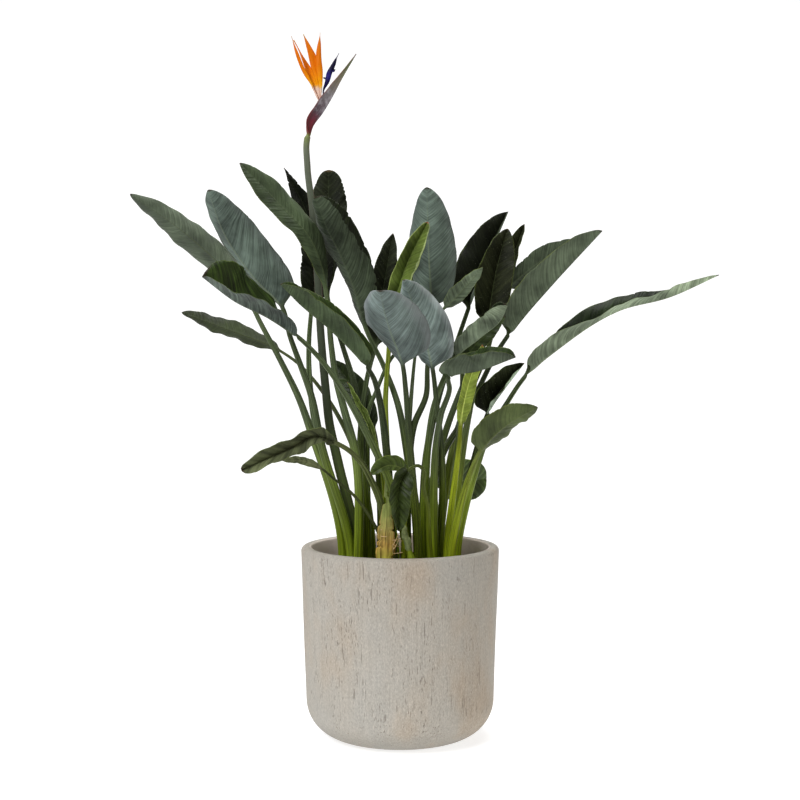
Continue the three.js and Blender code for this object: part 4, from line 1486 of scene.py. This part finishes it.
@dataclass
class Fibres:
    """Torn fibres that stand off the dried sheath, grown by a Geometry Nodes tree.

    Attributes:
        count: strands to each place.
        length: a strand's most length in millimetres.
        thick: its radius in millimetres.
        middle: where a strand of length 1 bends.
        tip: where it ends.
        least_turn: least turn about each axis, in radians.
        most_turn: most turn about each axis.
        seed: fixes the random draw.
    """

    count: int = 2
    length: float = 24.0
    thick: float = 0.6
    middle: Point = (0.35, 0.0, 0.35)
    tip: Point = (0.6, 0.15, 1.0)
    least_turn: Point = (-0.9, -0.5, -1.0)
    most_turn: Point = (0.7, 1.3, 1.0)
    seed: int = 5

    def tree(self, material: Material) -> Growth:
        """Builds the tree.

        Args:
            material: the strands' finish.

        Returns:
            The tree, with inputs Length, Thickness and Seed.
        """
        tree, given = open_tree("torn_fibres", "Length", "Thickness")
        seed = given["Seed"]
        points = add(tree, "GeometryNodeMeshToPoints", named={"Mesh": given["Geometry"]})
        strand = add(tree, "GeometryNodeCurveQuadraticBezier", 8, (0, 0, 0), self.middle, self.tip)
        turn = add(tree, DRAW, self.least_turn, self.most_turn, None, seed, data_type="FLOAT_VECTOR")
        share = add(tree, DRAW, 0.35, 1.0, None, seed, data_type="FLOAT")
        size = add(tree, MATHS, share, given["Length"], operation="MULTIPLY")
        named = {"Points": points, "Instance": strand, "Rotation": turn, "Scale": size}
        placed = add(tree, "GeometryNodeInstanceOnPoints", named=named)
        real = add(tree, "GeometryNodeRealizeInstances", placed)
        along = add(tree, "GeometryNodeSplineParameter")
        taper = add(tree, MATHS, along, -0.75, 1.0, operation="MULTIPLY_ADD")
        thinned = add(tree, "GeometryNodeSetCurveRadius", named={"Curve": real, "Radius": taper})
        section = add(tree, "GeometryNodeCurvePrimitiveCircle", 6, given["Thickness"])
        named = {"Curve": thinned, "Profile Curve": section, "Fill Caps": True}
        return close_tree(tree, add(tree, "GeometryNodeCurveToMesh", named=named), material)

    def at(self, places: list[Point], material: Material) -> Piece:
        """Grows strands at the given places.

        Args:
            places: where they spring from, in millimetres.
            material: their finish.

        Returns:
            The strands as one plain mesh object.
        """
        base = bpy.data.meshes.new("torn_edge")
        base.from_pydata([Vector(place) * MM for place in places for _ in range(self.count)], [], [])
        values = {"Length": self.length * MM, "Thickness": self.thick * MM, "Seed": self.seed}
        return grown("dried_sheath_fibres", base, self.tree(material), values)


@dataclass
class DriedSheath:
    """The dried leaf base in front: a pale sheet that has torn into fibres low down."""

    blade: list[Point] = field(
        default_factory=lambda: [(-28, -110, 356), (-27, -111, 400), (-26, -112, 460), (-27, -112, 530)]
    )
    torn: list[Point] = field(
        default_factory=lambda: [(-14, -113, 384), (-13, -114, 392), (-13, -114, 401), (-14, -114, 410),
                                 (-37, -114, 418), (-38, -114, 430)]
    )

    def build(self) -> list[Piece]:
        """Builds and dresses the sheath and its fibres.

        Returns:
            Both pieces.
        """
        leaf = Leaf(
            "dried_sheath", (-28, -110), [], self.blade, [21, 18, 15], [20, 20, 18], (0.25, 1.0), Face.UNDER,
            DRY_SHEATH, Build.WITHERED, cup=0.3, wave=(2.4, 2.5, 0.6), ragged=7.0, row=2.0, grooved=False,
        )
        material = DRY_SHEATH.make()
        sheath = leaf.skin(SHEATH_NUMBER).object("dried_sheath_torn", material)
        fibres = Fibres().at(self.torn, FIBRE.make())
        return [dress(sheath, DRY_SHEATH.slot, "dried_sheath"), dress(fibres, DRY_SHEATH.slot)]


@dataclass
class Pot:
    """The cylindrical fibre-clay pot, in its CAD solid's own sizes."""

    height: float = 384.0
    top_radius: float = 200.0
    foot_radius: float = 190.0
    wall: float = 21.0
    floor: float = 24.0
    base_rounding: float = 78.0
    rim_rounding: float = 9.0
    wander: float = 0.22
    segments: int = 160

    def arc(self, x: float, z: float, radius: float, start: float, end: float, steps: int) -> list[Pair]:
        """Points of an arc from one angle to another, as radius and height."""
        angles = [math.radians(start + (end - start) * step / steps) for step in range(steps + 1)]
        return [(x + radius * math.cos(angle), z + radius * math.sin(angle)) for angle in angles]

    def straight(self, low: Pair, high: Pair, steps: int) -> list[Pair]:
        """Points between two others, neither included."""
        shares = [step / steps for step in range(1, steps)]
        return [tuple(a + (b - a) * share for a, b in zip(low, high)) for share in shares]

    def profile(self) -> list[Pair]:
        """The pot's section, from under its middle, up the outside, over the lip and down inside.

        Returns:
            Its points, as radius and height.
        """
        rounding = self.base_rounding
        outside = self.arc(self.foot_radius - rounding, rounding, rounding, -90, -4, 18)
        rim_start = (self.top_radius, self.height - self.rim_rounding)
        rim = self.arc(self.top_radius - self.rim_rounding, rim_start[1], self.rim_rounding, 0, 90, 7)
        corner = rounding - self.wall
        inside = self.arc(self.foot_radius - self.wall - corner, self.floor + corner, corner, -90, -4, 12)
        top = self.top_radius - self.wall
        inner_rim = [(top + 4, self.height), (top + 1.2, self.height - 1.2), (top, self.height - 4)]
        return [
            *outside,
            *self.straight(outside[-1], rim_start, 28),
            *rim,
            *inner_rim,
            *self.straight(inner_rim[-1], inside[-1], 12),
            *reversed(inside),
        ]

    def build(self) -> list[Piece]:
        """Turns the section round the axis and dresses it.

        Returns:
            The pot.
        """
        points = [Vector((0, 0, 0))]
        profile = self.profile()
        count = self.segments
        for radius, z in profile:
            for segment in range(count):
                angle = 2 * math.pi * segment / count
                # Cast by hand: the wall wanders inwards by a few tenths of a millimetre.
                waves = 2 + math.sin(3 * angle + z / 90) + math.sin(7 * angle - z / 41)
                drift = self.wander * waves * min(1.0, z / 60)
                reach = max(radius - drift, 0.0)
                points.append(Vector((reach * math.cos(angle), reach * math.sin(angle), z)))
        points.append(Vector((0, 0, self.floor)))
        faces: list[tuple[int, ...]] = []
        last = 1 + (len(profile) - 1) * count
        for segment in range(count):
            following = (segment + 1) % count
            faces.append((0, 1 + following, 1 + segment))
            for row in range(len(profile) - 1):
                low, high = 1 + row * count, 1 + (row + 1) * count
                faces.append((low + segment, low + following, high + following, high + segment))
            faces.append((last + segment, last + following, len(points) - 1))
        piece = shell("pot_fibre_clay", points, faces)
        piece.data.materials.append(FibreClay().make())
        return [dress(piece, "pot", "pot")]


@dataclass
class Soil:
    """The potting soil: its CAD body, with crumbs of bark and grains of perlite strewn on it."""

    body: Piece
    top: float = 344.3
    radius: float = 172.0
    segments: int = 96
    crumbs: Scatter = field(
        default_factory=lambda: Scatter("soil_crumbs", 2600, 6.0, (0.25, 0.25, 0.2), (1.6, 1.1, 0.7), 11)
    )
    perlite: Scatter = field(
        default_factory=lambda: Scatter("soil_perlite", 160, 4.0, (0.5, 0.5, 0.4), (1.0, 1.0, 0.8), 23)
    )

    def bed(self) -> Mesh:
        """A flat round bed just above the soil, for the grains to lie on.

        Returns:
            Its mesh.
        """
        mesh = bpy.data.meshes.new("soil_bed")
        reach, count = self.radius, self.segments
        angles = [2 * math.pi * segment / count for segment in range(count)]
        points = [(reach * math.cos(angle), reach * math.sin(angle), self.top) for angle in angles]
        mesh.from_pydata([Vector(point) * MM for point in points], [], [tuple(range(count))])
        return mesh

    def build(self) -> list[Piece]:
        """Dresses the CAD soil and strews the grains.

        Returns:
            Crumbs and perlite.
        """
        self.body.data.materials.clear()
        self.body.data.materials.append(PEAT.make())
        area = math.pi * (self.radius * MM) ** 2
        crumbs = self.crumbs.over(self.bed(), area, BARK)
        perlite = self.perlite.over(self.bed(), area, PERLITE)
        return [dress(crumbs, "soil"), dress(perlite, "soil")]


@dataclass
class Studio:
    """A pale lit floor and backdrop, soft lights and the camera at the photograph's place."""

    camera_place: Point = (0.0, -3000.0, 802.0)
    camera_pitch: float = 2.37
    focal_pixels: float = 1492.0
    picture_pixels: float = 800.0
    sensor: float = 36.0
    air: float = 0.24
    acrylic: Colour = (0.55, 0.55, 0.55, 1.0)
    acrylic_glow: float = 0.7
    half_width: float = 4.0

    def build(self) -> None:
        """Builds the stage, the lights and the camera."""
        self.floor()
        self.world()
        self.soft_box("key", (-1.9, -2.6, 2.7), (0, 0, 0.75), 1.5, 103.0, "#fcfcff")
        self.soft_box("fill", (2.6, -2.2, 1.5), (0, 0, 0.6), 1.6, 14.0, "#fff1e0")
        self.soft_box("top", (0.2, 0.4, 3.4), (0, 0, 0.5), 2.0, 72.0, "#ffffff")
        self.camera()

    def floor(self) -> None:
        """A floor of translucent white acrylic, lit from beneath, that sweeps up behind the plant."""
        sweep = [(-0.9, 0.0), (3.0, 0.0), (3.6, 0.08), (4.1, 0.35), (4.45, 0.8), (4.6, 1.5), (4.6, 6.0)]
        points = [(x, y, z) for y, z in sweep for x in (-self.half_width, self.half_width)]
        faces = [(2 * row, 2 * row + 1, 2 * row + 3, 2 * row + 2) for row in range(len(sweep) - 1)]
        mesh = bpy.data.meshes.new("studio_floor")
        mesh.from_pydata(points, [], faces)
        mesh.polygons.foreach_set("use_smooth", [True] * len(mesh.polygons))
        recipe = Recipe("studio_acrylic_lit")
        grain = recipe.grains(25, 25, 25)
        colour = recipe.tone(self.acrylic, grain, (0.3, 0.99), (0.7, 1.0))
        glow = {"Emission_Color": WHITE, "Emission_Strength": self.acrylic_glow}
        mesh.materials.append(recipe.finish(grain, 0.05, 0.1, Base_Color=colour, Roughness=0.95, **glow))
        into_scene("studio_floor", mesh)

    def world(self) -> None:
        """A pale, even surrounding."""
        world = bpy.data.worlds.new("studio_air")
        world.use_nodes = True
        world.node_tree.nodes.clear()
        air = add(world.node_tree, "ShaderNodeBackground", WHITE, self.air)
        add(world.node_tree, "ShaderNodeOutputWorld", air)
        bpy.context.scene.world = world

    def soft_box(
        self, name: str, place: Point, target: Point, size: float, power: float, colour: str
    ) -> None:
        """Adds one square soft light.

        Args:
            name: its name.
            place: where it stands, in metres.
            target: what it faces.
            size: its side in metres.
            power: its power in watts.
            colour: its colour.
        """
        data = bpy.data.lights.new(name, "AREA")
        data.size, data.energy, data.color = size, power, linear(colour)[:3]
        light = bpy.data.objects.new(name, data)
        light.location = place
        light.rotation_euler = (Vector(target) - Vector(place)).to_track_quat("-Z", "Y").to_euler()
        bpy.context.scene.collection.objects.link(light)

    def camera(self) -> None:
        """The camera, fitted to the pot's rim and foot in the photograph."""
        data = bpy.data.cameras.new("camera")
        data.sensor_width = self.sensor
        data.lens = self.sensor * self.focal_pixels / self.picture_pixels
        camera = bpy.data.objects.new("camera", data)
        camera.location = Vector(self.camera_place) * MM
        camera.rotation_euler = (math.radians(90 - self.camera_pitch), 0, 0)
        bpy.context.scene.collection.objects.link(camera)
        bpy.context.scene.camera = camera
        bpy.context.scene.view_settings.view_transform = "Standard"


def main() -> None:
    """Builds every sub-assembly in order and logs each piece."""
    logging.basicConfig(level=logging.INFO, format="%(name)s: %(message)s")
    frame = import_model()
    for assembly in (Pot(), Soil(frame["nodes"]["soil"]), Foliage(), DriedSheath(), Flower()):
        for piece in assembly.build():
            LOG.info("%s: %d faces", piece.name, len(piece.data.polygons))
    Studio().build()


if __name__ == "__main__":
    main()
